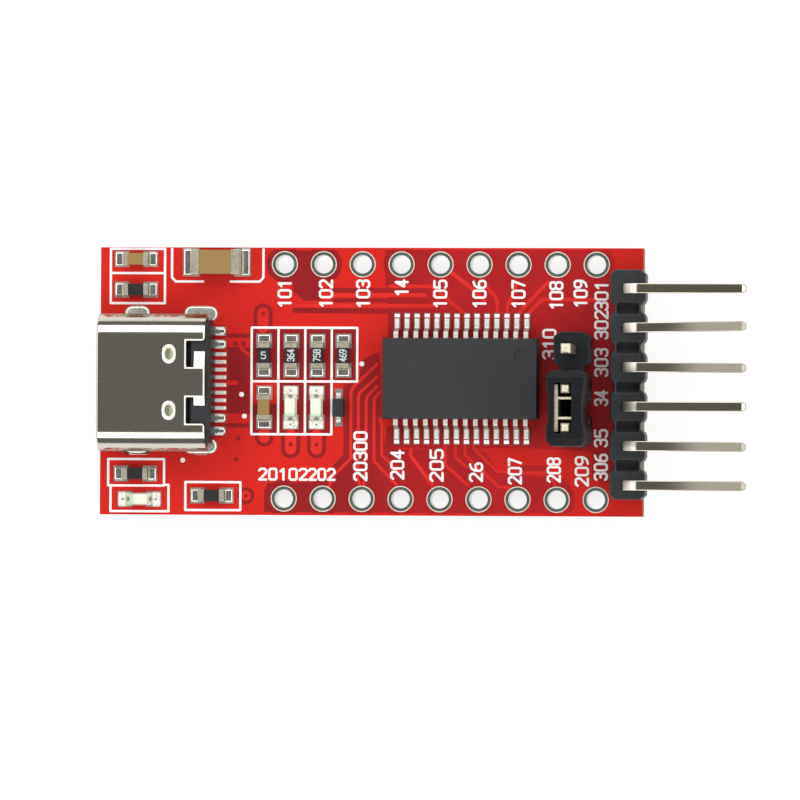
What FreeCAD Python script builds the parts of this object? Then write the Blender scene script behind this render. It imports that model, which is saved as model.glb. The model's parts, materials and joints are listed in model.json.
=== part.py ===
import FreeCAD, Part
import math
import os

# Frame: the origin is the centre of the two hole rows, on the board's underside.
# X runs from the socket to the long pins, Y across the board, Z up. Sizes in millimetres.

# Board and its two rows of plated holes
PITCH = 2.54
HOLES_PER_ROW = 9
ROW_PITCHES = 6
LEFT_MARGIN = 12.04
RIGHT_MARGIN = 3.04
EDGE_MARGIN = 1.08
BOARD_THICKNESS = 1.6
HOLE_RADIUS = 0.6
RING_WIDTH = 0.25
PLATING = 0.05

# Socket: a drawn steel shell round a plastic housing with a flat tongue
SHELL_SETBACK = 0.1
SHELL_Y = -0.12
SHELL_LENGTH = 7.06
SHELL_WIDTH = 8.94
SHELL_HEIGHT = 3.2
SHELL_WALL = 0.3
RIM_ROUND = 0.12
TONGUE_SIDE_GAP = 1.17
TONGUE_THICKNESS = 0.7
TONGUE_SETBACK = 1.05
HOUSING_DEPTH = 0.96
HOUSING_TAIL = 0.22
HOUSING_ROUND = 0.16
HOUSING_FIT = 0.01
COLLAR_LENGTH = 1.1
COLLAR_SIDE = 0.25
COLLAR_HALF_HEIGHT = 0.65
MID_PLATE_GRIP = 0.25
MID_PLATE_FRONT = 0.12
MID_PLATE_PROUD = 0.045
MID_PLATE_WALL = 0.14
TONGUE_CORNER = 0.2
TAIL_INSET = 0.55
JOIN = 0.1
SLOT_INNER = 0.97
SLOT_EDGE_GAP = 0.61
SLOT_DEPTH = 1.21
SLOT_CORNER = 0.1
SLOT_MOUTH_CORNER = 0.2
TAB_LENGTH = 0.7
TAB_WALL = 0.2
TAB_FALL = 0.42
TAB_REACHES = (0.55, 1.0)
DIMPLE_BACK = 2.32
DIMPLE_SIZES = ((0.86, 1.24), (0.58, 0.96), (0.1, 0.48))
DIMPLE_DEPTHS = (0, 0.07, 0.1)
LEG_OFFSET = 4.18
LEG_WALL = 0.3
REAR_LEG_BACK = 0.56
LEG_TIP = 1.3
LEG_TIP_TAPER = 0.25
LEG_TIP_RISE = 0.4
LEG_SLOT_WIDTH = 0.72
LEG_PAD_WIDTH = 1.1
LEG_PAD_WALL = 0.1
LEG_MOUND = 0.45
FRONT_LEG = (1.2, 1.75, 1.85)
REAR_LEG = (0.9, 1.5, 2.25)
CONTACT_THICKNESS = 0.15
CONTACT_TOE = 0.72
CONTACT_SLOTS = 13.2
INNER_CONTACTS = 8
OUTER_CONTACT_SLOTS = (4.8, 6.5)
INNER_CONTACT_SHARE = 0.44
OUTER_CONTACT_SHARE = 1.1
CONTACT_TIP = 0.45
CONTACT_PROUD = 0.02
LEAD_GAP = 0.03
LEAD_PAD_START = 0.05
LEAD_PAD_LENGTH = 0.8
LEAD_PAD_SIDE = 0.02
LEAD_TOE_RUN = 0.12

# Bridge chip with leads along both long sides
CHIP_X = 1.42
CHIP_Y = 0.2
CHIP_LENGTH = 10.2
CHIP_WIDTH = 5.3
CHIP_HEIGHT = 1.75
CHIP_STANDOFF = 0.1
CHIP_DRAFT = 0.13
CHIP_DIMPLE_INSET = 1.19
CHIP_DIMPLE_RADIUS = 0.4
CHIP_DIMPLE_DEPTH = 0.05
LEADS_PER_SIDE = 14
LEAD_PITCH = 0.65
LEAD_WIDTH = 0.3
LEAD_THICKNESS = 0.17
LEAD_REACH = 1.25
LEAD_SHOULDER = 0.33
LEAD_FOOT = 0.66
LEAD_ROOT = 0.2
TOE_SOLDER_SHARE = 0.8
CHIP_PAD_LENGTH = 1.05
CHIP_PAD_BEYOND = 0.37
CHIP_PAD_WIDTH = 0.4

# Small chip parts: length, width, height of the body
RESISTOR_SIZE = (1.6, 0.8, 0.45)
SMALL_CAPACITOR_SIZE = (1.6, 0.8, 0.7)
LARGE_CAPACITOR_SIZE = (3.2, 1.6, 1.3)
LED_SIZE = (1.6, 0.8, 0.22)
LENS_SIZE = (1.24, 0.76, 0.38)
DIODE_SIZE = (1.2, 0.8, 0.6)
LENS_DRAFT = 0.06
LED_NOTCH = 0.17
DIODE_PAD = (1.2, 0.25, 0)
DIODE_SPLIT = 0.2
DIODE_DRAFT = 0.06
DIODE_LEAD = (0.3, 0.12, 0.36)
END_CAP = 0.3
LARGE_END_CAP = 0.55
CAP_WALL = 0.025
PAD_UNDER = 0.33
PAD_BEYOND = 0.63
PAD_SIDE = 0.12
PAD_TRIM = 0.13
FILLET_RUN = 0.4
FILLET_STEPS = 3

# Where the chip parts sit, from the board's edges and the socket
CORNER_SETBACK = 2.33
LED_SETBACK = 2.6
LOW_RESISTOR_SETBACK = 7.35
LARGE_CAPACITOR_SETBACK = 7.6
LARGE_CAPACITOR_EDGE = 0.97
GROUP_GAP = 3.55
UPPER_STEPS = (0, 1.79, 3.49, 5.19)
LOWER_STEPS = (0.03, 1.76, 3.45, 4.89)
UPPER_Y = 1.68
LOWER_Y = -1.7

# Upright three-pin header and the jumper cap on two of its pins
PIN_WIDTH = 0.64
PIN_TAIL = 1.4
PIN_POINT = 0.14
HEADER_PINCH = 0.17
HEADER_SHOULDER = 0.42
END_SHARE = 0.7
SOLDER_CONE = 0.75
HEADER_HOLE_CLEARANCE = 0.047
HEADER_RING_WIDTH = 0.3
UPRIGHT_SETBACK = 3.62
UPRIGHT_MIDDLE_Y = -0.5
UPRIGHT_PINS = 3
UPRIGHT_WIDTH = 2.36
UPRIGHT_HEIGHT = 2.54
UPRIGHT_REACH = 5.8
UPRIGHT_NOTCH = 0.42
UPRIGHT_ENDS = (0.08, 0.08)
JUMPER_WIDTH = 2.48
JUMPER_END_GAP = 0.115
JUMPER_HEIGHT = 6.0
JUMPER_CLEARANCE = 0.04
JUMPER_CORNER = 0.32
JUMPER_WAIST = 0.16
JUMPER_WAIST_HALF = 0.85
JUMPER_WAIST_SLOPE = 0.35
JUMPER_END_BEVEL = (0.45, 0.3)
JUMPER_EDGE = 0.12
SPRING_ROOM = 0.38
SPRING_WALL = 0.2
LEAF_WALL = 0.15
LEAF_CLEARANCE = 0.03

# Side header: six pins bent over to reach past the board's edge
SIDE_PINS = 6
SIDE_EDGE_GAP = 0.85
SIDE_Y = -0.33
SIDE_WIDTH = 2.3
SIDE_HEIGHT = 2.5
SIDE_BEND = 0.82
SIDE_REACH = 6.85
SIDE_NOTCH = 0.3
SIDE_ENDS = (0.35, 0.04)
POCKET_HALF = 0.4
POCKET_DEPTH = 0.5
POCKET_REACH = 0.72
SIDE_LEAN = (0.0, 0.13, -0.04, 0.0, -0.05, -0.03)

# Values worked out from the sizes above
TOP = BOARD_THICKNESS
PAD_TOP = TOP + PLATING
ROW_HALF = (HOLES_PER_ROW - 1) / 2 * PITCH
ROW_Y = ROW_PITCHES / 2 * PITCH
BOARD_LEFT = -ROW_HALF - LEFT_MARGIN
BOARD_RIGHT = ROW_HALF + RIGHT_MARGIN
BOARD_HALF = ROW_Y + EDGE_MARGIN
SHELL_FRONT = BOARD_LEFT + SHELL_SETBACK
SHELL_REAR = SHELL_FRONT + SHELL_LENGTH
SHELL_MID_Z = TOP + SHELL_HEIGHT / 2
SHELL_HALF = SHELL_WIDTH / 2
TONGUE_WIDTH = SHELL_WIDTH - 2 * TONGUE_SIDE_GAP
CONTACT_PITCH = TONGUE_WIDTH / CONTACT_SLOTS
SLOT_OUTER = TONGUE_WIDTH / 2 - SLOT_EDGE_GAP
LEAD_SPAN = CHIP_WIDTH + 2 * LEAD_REACH
HEADER_HOLE = PIN_WIDTH / math.sqrt(2) + HEADER_HOLE_CLEARANCE
HEADER_RING = HEADER_HOLE + HEADER_RING_WIDTH
SIDE_X = BOARD_RIGHT - SIDE_EDGE_GAP
SIDE_TOP = TOP + SIDE_HEIGHT
SIDE_RUN_Z = SIDE_TOP + SIDE_BEND
UPRIGHT_X = SIDE_X - UPRIGHT_SETBACK
UPRIGHT_TOP = TOP + UPRIGHT_HEIGHT
JUMPER_Y = UPRIGHT_MIDDLE_Y - PITCH / 2
JUMPER_LENGTH = 2 * (PITCH - JUMPER_END_GAP)
WINDOW_HALF = PITCH / 2 + PIN_WIDTH / 2 + JUMPER_CLEARANCE
WINDOW_LEFT = PIN_WIDTH / 2 + SPRING_ROOM
WINDOW_RIGHT = PIN_WIDTH / 2 + 2 * JUMPER_CLEARANCE

# Places of the chip parts: centre x, centre y, quarter turn or not
MARGIN_Y = BOARD_HALF - SHELL_HALF
SIDE_SHARES = {"outer": 0.818, "high": 0.348, "low": 0.369, "led": 0.761, "mid": 0.704}
CORNER_X = BOARD_LEFT + CORNER_SETBACK
GROUP_X = SHELL_REAR + GROUP_GAP
UPPER_X = [GROUP_X + step for step in UPPER_STEPS]
LOWER_X = [GROUP_X + step for step in LOWER_STEPS]
RESISTORS = [
    (CORNER_X, SHELL_HALF + SIDE_SHARES["high"] * MARGIN_Y, False),
    (CORNER_X, -SHELL_HALF - SIDE_SHARES["low"] * MARGIN_Y, False),
    (BOARD_LEFT + LOW_RESISTOR_SETBACK, -SHELL_HALF - SIDE_SHARES["mid"] * MARGIN_Y, False),
]
RESISTORS += [(x, UPPER_Y, True) for x in UPPER_X]
CAPACITORS = [
    (CORNER_X, SHELL_HALF + SIDE_SHARES["outer"] * MARGIN_Y, False, SMALL_CAPACITOR_SIZE, END_CAP),
    (BOARD_LEFT + LARGE_CAPACITOR_SETBACK, BOARD_HALF - LARGE_CAPACITOR_EDGE, False,
     LARGE_CAPACITOR_SIZE, LARGE_END_CAP),
    (LOWER_X[0], LOWER_Y, True, SMALL_CAPACITOR_SIZE, END_CAP),
]
LEDS = [
    (BOARD_LEFT + LED_SETBACK, -SHELL_HALF - SIDE_SHARES["led"] * MARGIN_Y, False),
    (LOWER_X[1], LOWER_Y, True),
    (LOWER_X[2], LOWER_Y, True),
]
DIODE_PLACE = (LOWER_X[3], LOWER_Y, True)


def vec(x, y, z):
    return FreeCAD.Vector(x, y, z)


def box(x0, x1, y0, y1, z0, z1):
    return Part.makeBox(x1 - x0, y1 - y0, z1 - z0, vec(x0, y0, z0))


def block(x, y, z0, length, width, height):
    return box(x - length / 2, x + length / 2, y - width / 2, y + width / 2, z0, z0 + height)


def cylinder(x, y, z0, z1, radius):
    return Part.makeCylinder(radius, z1 - z0, vec(x, y, z0))


def fuse(shapes):
    joined = shapes[0].multiFuse(shapes[1:])
    return joined.removeSplitter()


def extrude(corners, along):
    return Part.Face(Part.makePolygon(corners + corners[:1])).extrude(along)


def plate(outline, z0, z1):
    """An outline in X and Y, raised from z0 to z1."""
    return extrude([vec(x, y, z0) for x, y in outline], vec(0, 0, z1 - z0))


def bar_along_x(outline, x0, x1):
    """An outline in Y and Z, drawn out from x0 to x1."""
    return extrude([vec(x0, y, z) for y, z in outline], vec(x1 - x0, 0, 0))


def bar_along_y(outline, y0, y1):
    """An outline in X and Z, drawn out from y0 to y1."""
    return extrude([vec(x, y0, z) for x, z in outline], vec(0, y1 - y0, 0))


def tapered(x, y, z0, z1, length, width, inset):
    """A block whose four sides lean in by inset on the way up from z0 to z1."""
    levels = []
    for z, lean in ((z0, 0), (z1, inset)):
        half_x = length / 2 - lean
        half_y = width / 2 - lean
        signs = ((-1, -1), (1, -1), (1, 1), (-1, 1))
        levels.append([vec(x + sx * half_x, y + sy * half_y, z) for sx, sy in signs])
    low, high = levels
    rings = [low, high]
    for k in range(4):
        after = (k + 1) % 4
        rings.append([low[k], low[after], high[after], high[k]])
    faces = [Part.Face(Part.makePolygon(ring + ring[:1])) for ring in rings]
    solid = Part.makeSolid(Part.makeShell(faces))
    if solid.Volume < 0:
        solid.reverse()
    return solid


def oval_wire(x, y, z, length, width):
    """A slot outline: two straight sides and two half circles, its long side on X or Y."""
    radius = min(length, width) / 2
    run = abs(length - width) / 2
    turn = 0 if length >= width else 90
    top = Part.LineSegment(vec(-run, radius, 0), vec(run, radius, 0))
    low = Part.LineSegment(vec(-run, -radius, 0), vec(run, -radius, 0))
    right = Part.Arc(vec(run, radius, 0), vec(run + radius, 0, 0), vec(run, -radius, 0))
    left = Part.Arc(vec(-run, radius, 0), vec(-run - radius, 0, 0), vec(-run, -radius, 0))
    wire = Part.Wire([top.toShape(), right.toShape(), low.toShape(), left.toShape()])
    wire.rotate(vec(0, 0, 0), vec(0, 0, 1), turn)
    wire.translate(vec(x, y, z))
    return wire


def oval(x, y, z0, z1, length, width):
    return Part.Face(oval_wire(x, y, z0, length, width)).extrude(vec(0, 0, z1 - z0))


def tube_section(x0, x1, width, height, middle_z):
    """A flat tube's outside: straight top and bottom, half-round sides, drawn along X."""
    wire = oval_wire(0, 0, 0, width, height)
    wire.rotate(vec(0, 0, 0), vec(0, 0, 1), 90)
    wire.rotate(vec(0, 0, 0), vec(0, 1, 0), 90)
    wire.translate(vec(x0, 0, middle_z))
    return Part.Face(wire).extrude(vec(x1 - x0, 0, 0))


def strip(path, thickness):
    """The outline of a bent metal strip of one thickness that follows a path of points."""
    half = thickness / 2
    normals = []
    for (a0, b0), (a1, b1) in zip(path, path[1:]):
        run = math.hypot(a1 - a0, b1 - b0)
        normals.append((-(b1 - b0) / run, (a1 - a0) / run))
    ahead = normals + normals[-1:]
    behind = normals[:1] + normals
    left = []
    right = []
    for (a, b), (u0, v0), (u1, v1) in zip(path, behind, ahead):
        reach = half / (1 + u0 * u1 + v0 * v1)
        du = (u0 + u1) * reach
        dv = (v0 + v1) * reach
        left.append((a + du, b + dv))
        right.append((a - du, b - dv))
    return left + right[::-1]


def placed(shape, place):
    """A shape that was made at the origin, turned and set down at its place."""
    x, y, turned = place[:3]
    if turned:
        shape.rotate(vec(0, 0, 0), vec(0, 0, 1), 90)
    shape.translate(vec(x, y, 0))
    return shape


def save(node, solids):
    shape = Part.makeCompound(solids) if len(solids) > 1 else solids[0]
    shape.exportStep("parts/" + node + ".step")


def hole_row(y):
    return [(k * PITCH - ROW_HALF, y) for k in range(HOLES_PER_ROW)]


def upright_places():
    first = UPRIGHT_MIDDLE_Y + (UPRIGHT_PINS - 1) / 2 * PITCH
    return [(UPRIGHT_X, first - k * PITCH) for k in range(UPRIGHT_PINS)]


def side_places():
    first = SIDE_Y + (SIDE_PINS - 1) / 2 * PITCH
    return [(SIDE_X, first - k * PITCH) for k in range(SIDE_PINS)]


# Board, plating and pads

def leg_places():
    """Each shell leg: middle x, side, and the lengths of the leg, its slot and its pad."""
    rear_x = SHELL_REAR - REAR_LEG_BACK
    places = []
    for side in (-1, 1):
        places.append((rear_x - LEG_OFFSET, side, FRONT_LEG))
        places.append((rear_x, side, REAR_LEG))
    return places


def leg_y(side):
    """The middle of a leg's sheet, from the shell's own middle."""
    return side * (SHELL_HALF - LEG_WALL / 2)


def make_board():
    board = box(BOARD_LEFT, BOARD_RIGHT, -BOARD_HALF, BOARD_HALF, 0, TOP)
    drills = []
    for x, y in hole_row(ROW_Y) + hole_row(-ROW_Y):
        drills.append(cylinder(x, y, 0, TOP, HOLE_RADIUS + PLATING))
    for x, y in upright_places() + side_places():
        drills.append(cylinder(x, y, 0, TOP, HEADER_HOLE + PLATING))
    for x, side, (leg, slot, pad) in leg_places():
        drills.append(oval(x, SHELL_Y + leg_y(side), 0, TOP, slot, LEG_SLOT_WIDTH))
    return board.cut(Part.makeCompound(drills))


def plated_hole(x, y, hole, ring):
    """A copper barrel with a ring on each face of the board."""
    barrel = cylinder(x, y, 0, TOP, hole + PLATING)
    rings = [cylinder(x, y, -PLATING, 0, ring), cylinder(x, y, TOP, PAD_TOP, ring)]
    solid = fuse([barrel] + rings)
    return solid.cut(cylinder(x, y, -PLATING, PAD_TOP, hole))


# Small chip parts on their pads

def pad_sizes(size):
    """Length, width and offset of the two pads under a chip part."""
    length, width, height = size
    pad_length = PAD_UNDER * (1 + length / 4) + PAD_BEYOND - PAD_TRIM
    pad_width = width + 2 * PAD_SIDE
    return pad_length, pad_width, length / 2 + PAD_BEYOND - pad_length / 2


def pads_under(size, place):
    pad_length, pad_width, offset = pad_sizes(size)
    pads = []
    for side in (-1, 1):
        pads.append(placed(block(side * offset, 0, TOP, pad_length, pad_width, PLATING), place))
    return pads


def solder_at_ends(size, place, rise):
    """Concave solder between each end of a chip part and its pad."""
    length, width, height = size
    fillets = []
    for side in (-1, 1):
        curve = []
        for step in range(FILLET_STEPS + 1):
            climb = step / FILLET_STEPS
            out = length / 2 + FILLET_RUN * (1 - climb) ** 2
            curve.append((side * out, PAD_TOP + rise * climb ** 2))
        outline = [(side * length / 2, PAD_TOP)] + curve
        fillets.append(placed(bar_along_y(outline, -width / 2, width / 2), place))
    return fillets


def chip_body(size, place):
    """A ceramic body between its end caps, which stand proud of it by their wall."""
    length, width, height = size
    core = block(0, 0, PAD_TOP + CAP_WALL, length - 2 * CAP_WALL, width - 2 * CAP_WALL,
                 height - 2 * CAP_WALL)
    return placed(core, place)


def chip_caps(size, place, cap_length, wraps_sides):
    """The two metal ends: round all sides of a capacitor, open at a resistor's sides."""
    length, width, height = size
    cap_width = width if wraps_sides else width - 2 * CAP_WALL
    core = block(0, 0, PAD_TOP + CAP_WALL, length - 2 * CAP_WALL, width - 2 * CAP_WALL,
                 height - 2 * CAP_WALL)
    caps = []
    for side in (-1, 1):
        middle = side * (length / 2 - cap_length / 2)
        cap = block(middle, 0, PAD_TOP, cap_length, cap_width, height)
        caps.append(placed(cap.cut(core), place))
    return caps


def led_base(place):
    """The LED's carrier with a half-round recess in each end."""
    length, width, height = LED_SIZE
    base = block(0, 0, PAD_TOP, length, width, height)
    ends = (-length / 2, length / 2)
    notches = [cylinder(end, 0, PAD_TOP, PAD_TOP + height, LED_NOTCH) for end in ends]
    return placed(base.cut(Part.makeCompound(notches)), place)


def led_lens(place):
    length, width, height = LENS_SIZE
    bottom = PAD_TOP + LED_SIZE[2]
    return placed(tapered(0, 0, bottom, bottom + height, length, width, LENS_DRAFT), place)


def two_draft_body(x, y, z0, middle, z1, length, width, draft):
    """A moulded body whose sides lean in above and below the line where the mould parts."""
    lower = tapered(0, 0, 0, middle - z0, length, width, draft)
    lower.rotate(vec(0, 0, 0), vec(1, 0, 0), 180)
    lower.translate(vec(x, y, middle))
    return fuse([lower, tapered(x, y, middle, z1, length, width, draft)])


def diode_body(place):
    length, width, height = DIODE_SIZE
    middle = PAD_TOP + DIODE_SPLIT
    body = two_draft_body(0, 0, PAD_TOP + CAP_WALL, middle, PAD_TOP + height, length, width, DIODE_DRAFT)
    return placed(body, place)


def diode_leads(place):
    """Two flat leads that leave the diode's ends low down and rest on the pads."""
    length, width, height = DIODE_SIZE
    lead_width, wall, reach = DIODE_LEAD
    half = length / 2
    leads = []
    for side in (-1, 1):
        exit_z = PAD_TOP + DIODE_SPLIT
        foot_z = PAD_TOP + wall / 2
        path = [(side * (half - wall / 2), exit_z), (side * (half + wall / 2), exit_z),
                (side * (half + wall), foot_z), (side * (half + reach), foot_z)]
        lead = bar_along_y(strip(path, wall), -lead_width / 2, lead_width / 2)
        leads.append(placed(lead.cut(block(0, 0, 0, length, width, PAD_TOP + height)), place))
    return leads


# Bridge chip

def lead_rows():
    """Each lead of the chip: its x and the side it is on."""
    first = CHIP_X - (LEADS_PER_SIDE - 1) / 2 * LEAD_PITCH
    return [(first + k * LEAD_PITCH, side) for side in (-1, 1) for k in range(LEADS_PER_SIDE)]


def make_chip_body():
    """The moulded body, with a shallow round dimple beside its first lead."""
    bottom = TOP + CHIP_STANDOFF
    top = bottom + CHIP_HEIGHT
    middle = (bottom + top) / 2
    body = two_draft_body(CHIP_X, CHIP_Y, bottom, middle, top, CHIP_LENGTH, CHIP_WIDTH, CHIP_DRAFT)
    dimple_x = CHIP_X + CHIP_LENGTH / 2 - CHIP_DIMPLE_INSET
    dimple_y = CHIP_Y + CHIP_WIDTH / 2 - CHIP_DIMPLE_INSET
    return body.cut(cylinder(dimple_x, dimple_y, top - CHIP_DIMPLE_DEPTH, top, CHIP_DIMPLE_RADIUS))


def make_chip_lead(x, side):
    """A gull-wing lead: out of the body's middle, down, and flat on its pad."""
    root = CHIP_WIDTH / 2
    tip = LEAD_SPAN / 2
    height = TOP + CHIP_STANDOFF + CHIP_HEIGHT / 2
    foot = PAD_TOP + LEAD_THICKNESS / 2
    path = [(root - LEAD_ROOT, height), (root + LEAD_SHOULDER, height), (tip - LEAD_FOOT, foot), (tip, foot)]
    outline = [(CHIP_Y + side * y, z) for y, z in strip(path, LEAD_THICKNESS)]
    return bar_along_x(outline, x - LEAD_WIDTH / 2, x + LEAD_WIDTH / 2)


def chip_pads():
    pads = []
    for x, side in lead_rows():
        middle = CHIP_Y + side * (LEAD_SPAN / 2 + CHIP_PAD_BEYOND - CHIP_PAD_LENGTH / 2)
        pads.append(block(x, middle, TOP, CHIP_PAD_WIDTH, CHIP_PAD_LENGTH, PLATING))
    return pads


def chip_solder():
    """A small wedge of solder at the toe of each lead."""
    wedges = []
    for x, side in lead_rows():
        tip = LEAD_SPAN / 2
        run = TOE_SOLDER_SHARE * CHIP_PAD_BEYOND
        outline = [(tip, PAD_TOP), (tip + run, PAD_TOP), (tip + run / 3, PAD_TOP + LEAD_THICKNESS / 3),
                   (tip, PAD_TOP + LEAD_THICKNESS)]
        turned = [(CHIP_Y + side * y, z) for y, z in outline]
        wedges.append(bar_along_x(turned, x - LEAD_WIDTH / 2, x + LEAD_WIDTH / 2))
    return wedges


# Socket

def socket_contact_rows():
    """Each soldered contact: middle y, width, and whether it runs above, below or both."""
    rows = []
    first = -(INNER_CONTACTS - 1) / 2 * CONTACT_PITCH
    for k in range(INNER_CONTACTS):
        width = INNER_CONTACT_SHARE * CONTACT_PITCH
        rows.append((first + k * CONTACT_PITCH, width, ("above", "below")[k % 2]))
    for slots in OUTER_CONTACT_SLOTS:
        for side in (1, -1):
            rows.append((side * slots * CONTACT_PITCH, OUTER_CONTACT_SHARE * CONTACT_PITCH, "both"))
    return rows


def make_contact(y, width, runs):
    """A contact blade on the tongue that leaves the housing and drops down its back to its pad."""
    foot = PAD_TOP + CONTACT_THICKNESS / 2
    drop_x = SHELL_REAR + HOUSING_TAIL + LEAD_GAP + CONTACT_THICKNESS / 2
    toe_x = SHELL_REAR + HOUSING_TAIL + CONTACT_TOE
    tip_x = SHELL_FRONT + TONGUE_SETBACK + CONTACT_TIP
    offset = TONGUE_THICKNESS / 2 - CONTACT_THICKNESS / 2 + CONTACT_PROUD
    blades = []
    for run, sign in (("above", 1), ("below", -1)):
        if runs in (run, "both"):
            level = SHELL_MID_Z + sign * offset
            path = [(tip_x, level), (drop_x, level), (drop_x, foot), (toe_x, foot)]
            outline = strip(path, CONTACT_THICKNESS)
            blades.append(bar_along_y(outline, y - width / 2, y + width / 2))
    return fuse(blades) if len(blades) > 1 else blades[0]


def socket_lead_pads():
    pads = []
    start = SHELL_REAR + HOUSING_TAIL + LEAD_PAD_START
    for y, width, runs in socket_contact_rows():
        half = width / 2 + LEAD_PAD_SIDE
        pads.append(box(start, start + LEAD_PAD_LENGTH, y - half, y + half, TOP, PAD_TOP))
    return pads


def socket_lead_solder():
    """Solder on the toe of each socket contact."""
    wedges = []
    toe = SHELL_REAR + HOUSING_TAIL + CONTACT_TOE
    for y, width, runs in socket_contact_rows():
        outline = [(toe, PAD_TOP), (toe + LEAD_TOE_RUN, PAD_TOP), (toe, PAD_TOP + CONTACT_THICKNESS)]
        wedges.append(bar_along_y(outline, y - width / 2, y + width / 2))
    return wedges


def upright_edges(shape, places):
    """The short upright edges of a shape at the given points in X and Y."""
    chosen = []
    for edge in shape.Edges:
        bounds = edge.BoundBox
        for x, y in places:
            misses = (bounds.XMin - x, bounds.XMax - x, bounds.YMin - y, bounds.YMax - y)
            if max(abs(miss) for miss in misses) < 0.001:
                chosen.append(edge)
    return chosen


def dimple(x, y, roof):
    """A pressed oval dimple: a steep rim and a shallow floor."""
    rims = []
    for (length, width), depth in zip(DIMPLE_SIZES, DIMPLE_DEPTHS):
        rims.append(oval_wire(x, y, roof - depth, length, width))
    rim = Part.makeLoft(rims[:2], True, True)
    floor = Part.makeLoft(rims[1:], True, True)
    return rim.fuse(floor)


def shell_tube(roof):
    """The drawn tube with a rounded rim, two dimples and two slots with rounded corners."""
    outer = tube_section(SHELL_FRONT, SHELL_REAR, SHELL_WIDTH, SHELL_HEIGHT, SHELL_MID_Z)
    inner = tube_section(SHELL_FRONT - 1, SHELL_REAR + 1, SHELL_WIDTH - 2 * SHELL_WALL,
                         SHELL_HEIGHT - 2 * SHELL_WALL, SHELL_MID_Z)
    rim = [edge for edge in outer.Edges if edge.BoundBox.XMax < SHELL_FRONT + 0.01]
    shell = outer.makeFillet(RIM_ROUND, rim).cut(inner)
    width = SLOT_OUTER - SLOT_INNER
    slots = []
    inner_corners = []
    mouth_corners = []
    for side in (-1, 1):
        middle = side * (SLOT_INNER + SLOT_OUTER) / 2
        slots.append(block(SHELL_REAR, middle, roof - SHELL_WALL * 1.5, 2 * SLOT_DEPTH, width, 1))
        inner_corners.append((SHELL_REAR - SLOT_DEPTH, side * SLOT_INNER))
        inner_corners.append((SHELL_REAR - SLOT_DEPTH, side * SLOT_OUTER))
        mouth_corners.append((SHELL_REAR, side * SLOT_OUTER))
    shell = shell.cut(Part.makeCompound(slots))
    shell = shell.makeFillet(SLOT_CORNER, upright_edges(shell, inner_corners))
    shell = shell.makeFillet(SLOT_MOUTH_CORNER, upright_edges(shell, mouth_corners))
    dimple_x = SHELL_REAR - DIMPLE_BACK
    middle = (SLOT_INNER + SLOT_OUTER) / 2
    return shell.cut([dimple(dimple_x, side * middle, roof) for side in (-1, 1)])


def shell_tab(side, reach, roof):
    """A tab cut free in a rear slot, which slopes down and away from the roof's middle strip."""
    level = roof - TAB_WALL / 2
    bend = SLOT_INNER - TAB_WALL / 4
    path = [(side * (bend - TAB_WALL), level), (side * bend, level),
            (side * (bend + reach), level - TAB_FALL * reach)]
    return bar_along_x(strip(path, TAB_WALL), SHELL_REAR - TAB_LENGTH, SHELL_REAR)


def shell_leg(x, side, leg):
    """A leg that goes down from the shell's side, with a tapered tip under the board."""
    tip = TOP - LEG_TIP
    half = leg / 2
    outline = [(x - half, SHELL_MID_Z), (x + half, SHELL_MID_Z), (x + half, tip + LEG_TIP_RISE),
               (x + half - LEG_TIP_TAPER, tip), (x - half + LEG_TIP_TAPER, tip),
               (x - half, tip + LEG_TIP_RISE)]
    y = leg_y(side)
    return bar_along_y(outline, y - LEG_WALL / 2, y + LEG_WALL / 2)


def make_shell():
    """The drawn shell: a flat tube with two rear slots, sloping tabs, dimples and four legs."""
    roof = TOP + SHELL_HEIGHT
    pieces = [shell_tube(roof)]
    for side, reach in zip((-1, 1), TAB_REACHES):
        pieces.append(shell_tab(side, reach, roof))
    for x, side, (leg, slot, pad) in leg_places():
        pieces.append(shell_leg(x, side, leg))
    shell = fuse(pieces)
    shell.translate(vec(0, SHELL_Y, 0))
    return shell


def tongue_outline(front, rear, half, corner):
    """A tongue seen from above, with its two front corners cut off."""
    outline = [(front + corner, -half), (rear, -half), (rear, half), (front + corner, half),
               (front, half - corner), (front, corner - half)]
    return [(x, SHELL_Y + y) for x, y in outline]


def make_mid_plate():
    front = SHELL_FRONT + TONGUE_SETBACK + MID_PLATE_FRONT
    rear = SHELL_REAR - HOUSING_DEPTH + MID_PLATE_GRIP
    half = TONGUE_WIDTH / 2 + MID_PLATE_PROUD
    outline = tongue_outline(front, rear, half, TONGUE_CORNER)
    return plate(outline, SHELL_MID_Z - MID_PLATE_WALL / 2, SHELL_MID_Z + MID_PLATE_WALL / 2)


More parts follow.
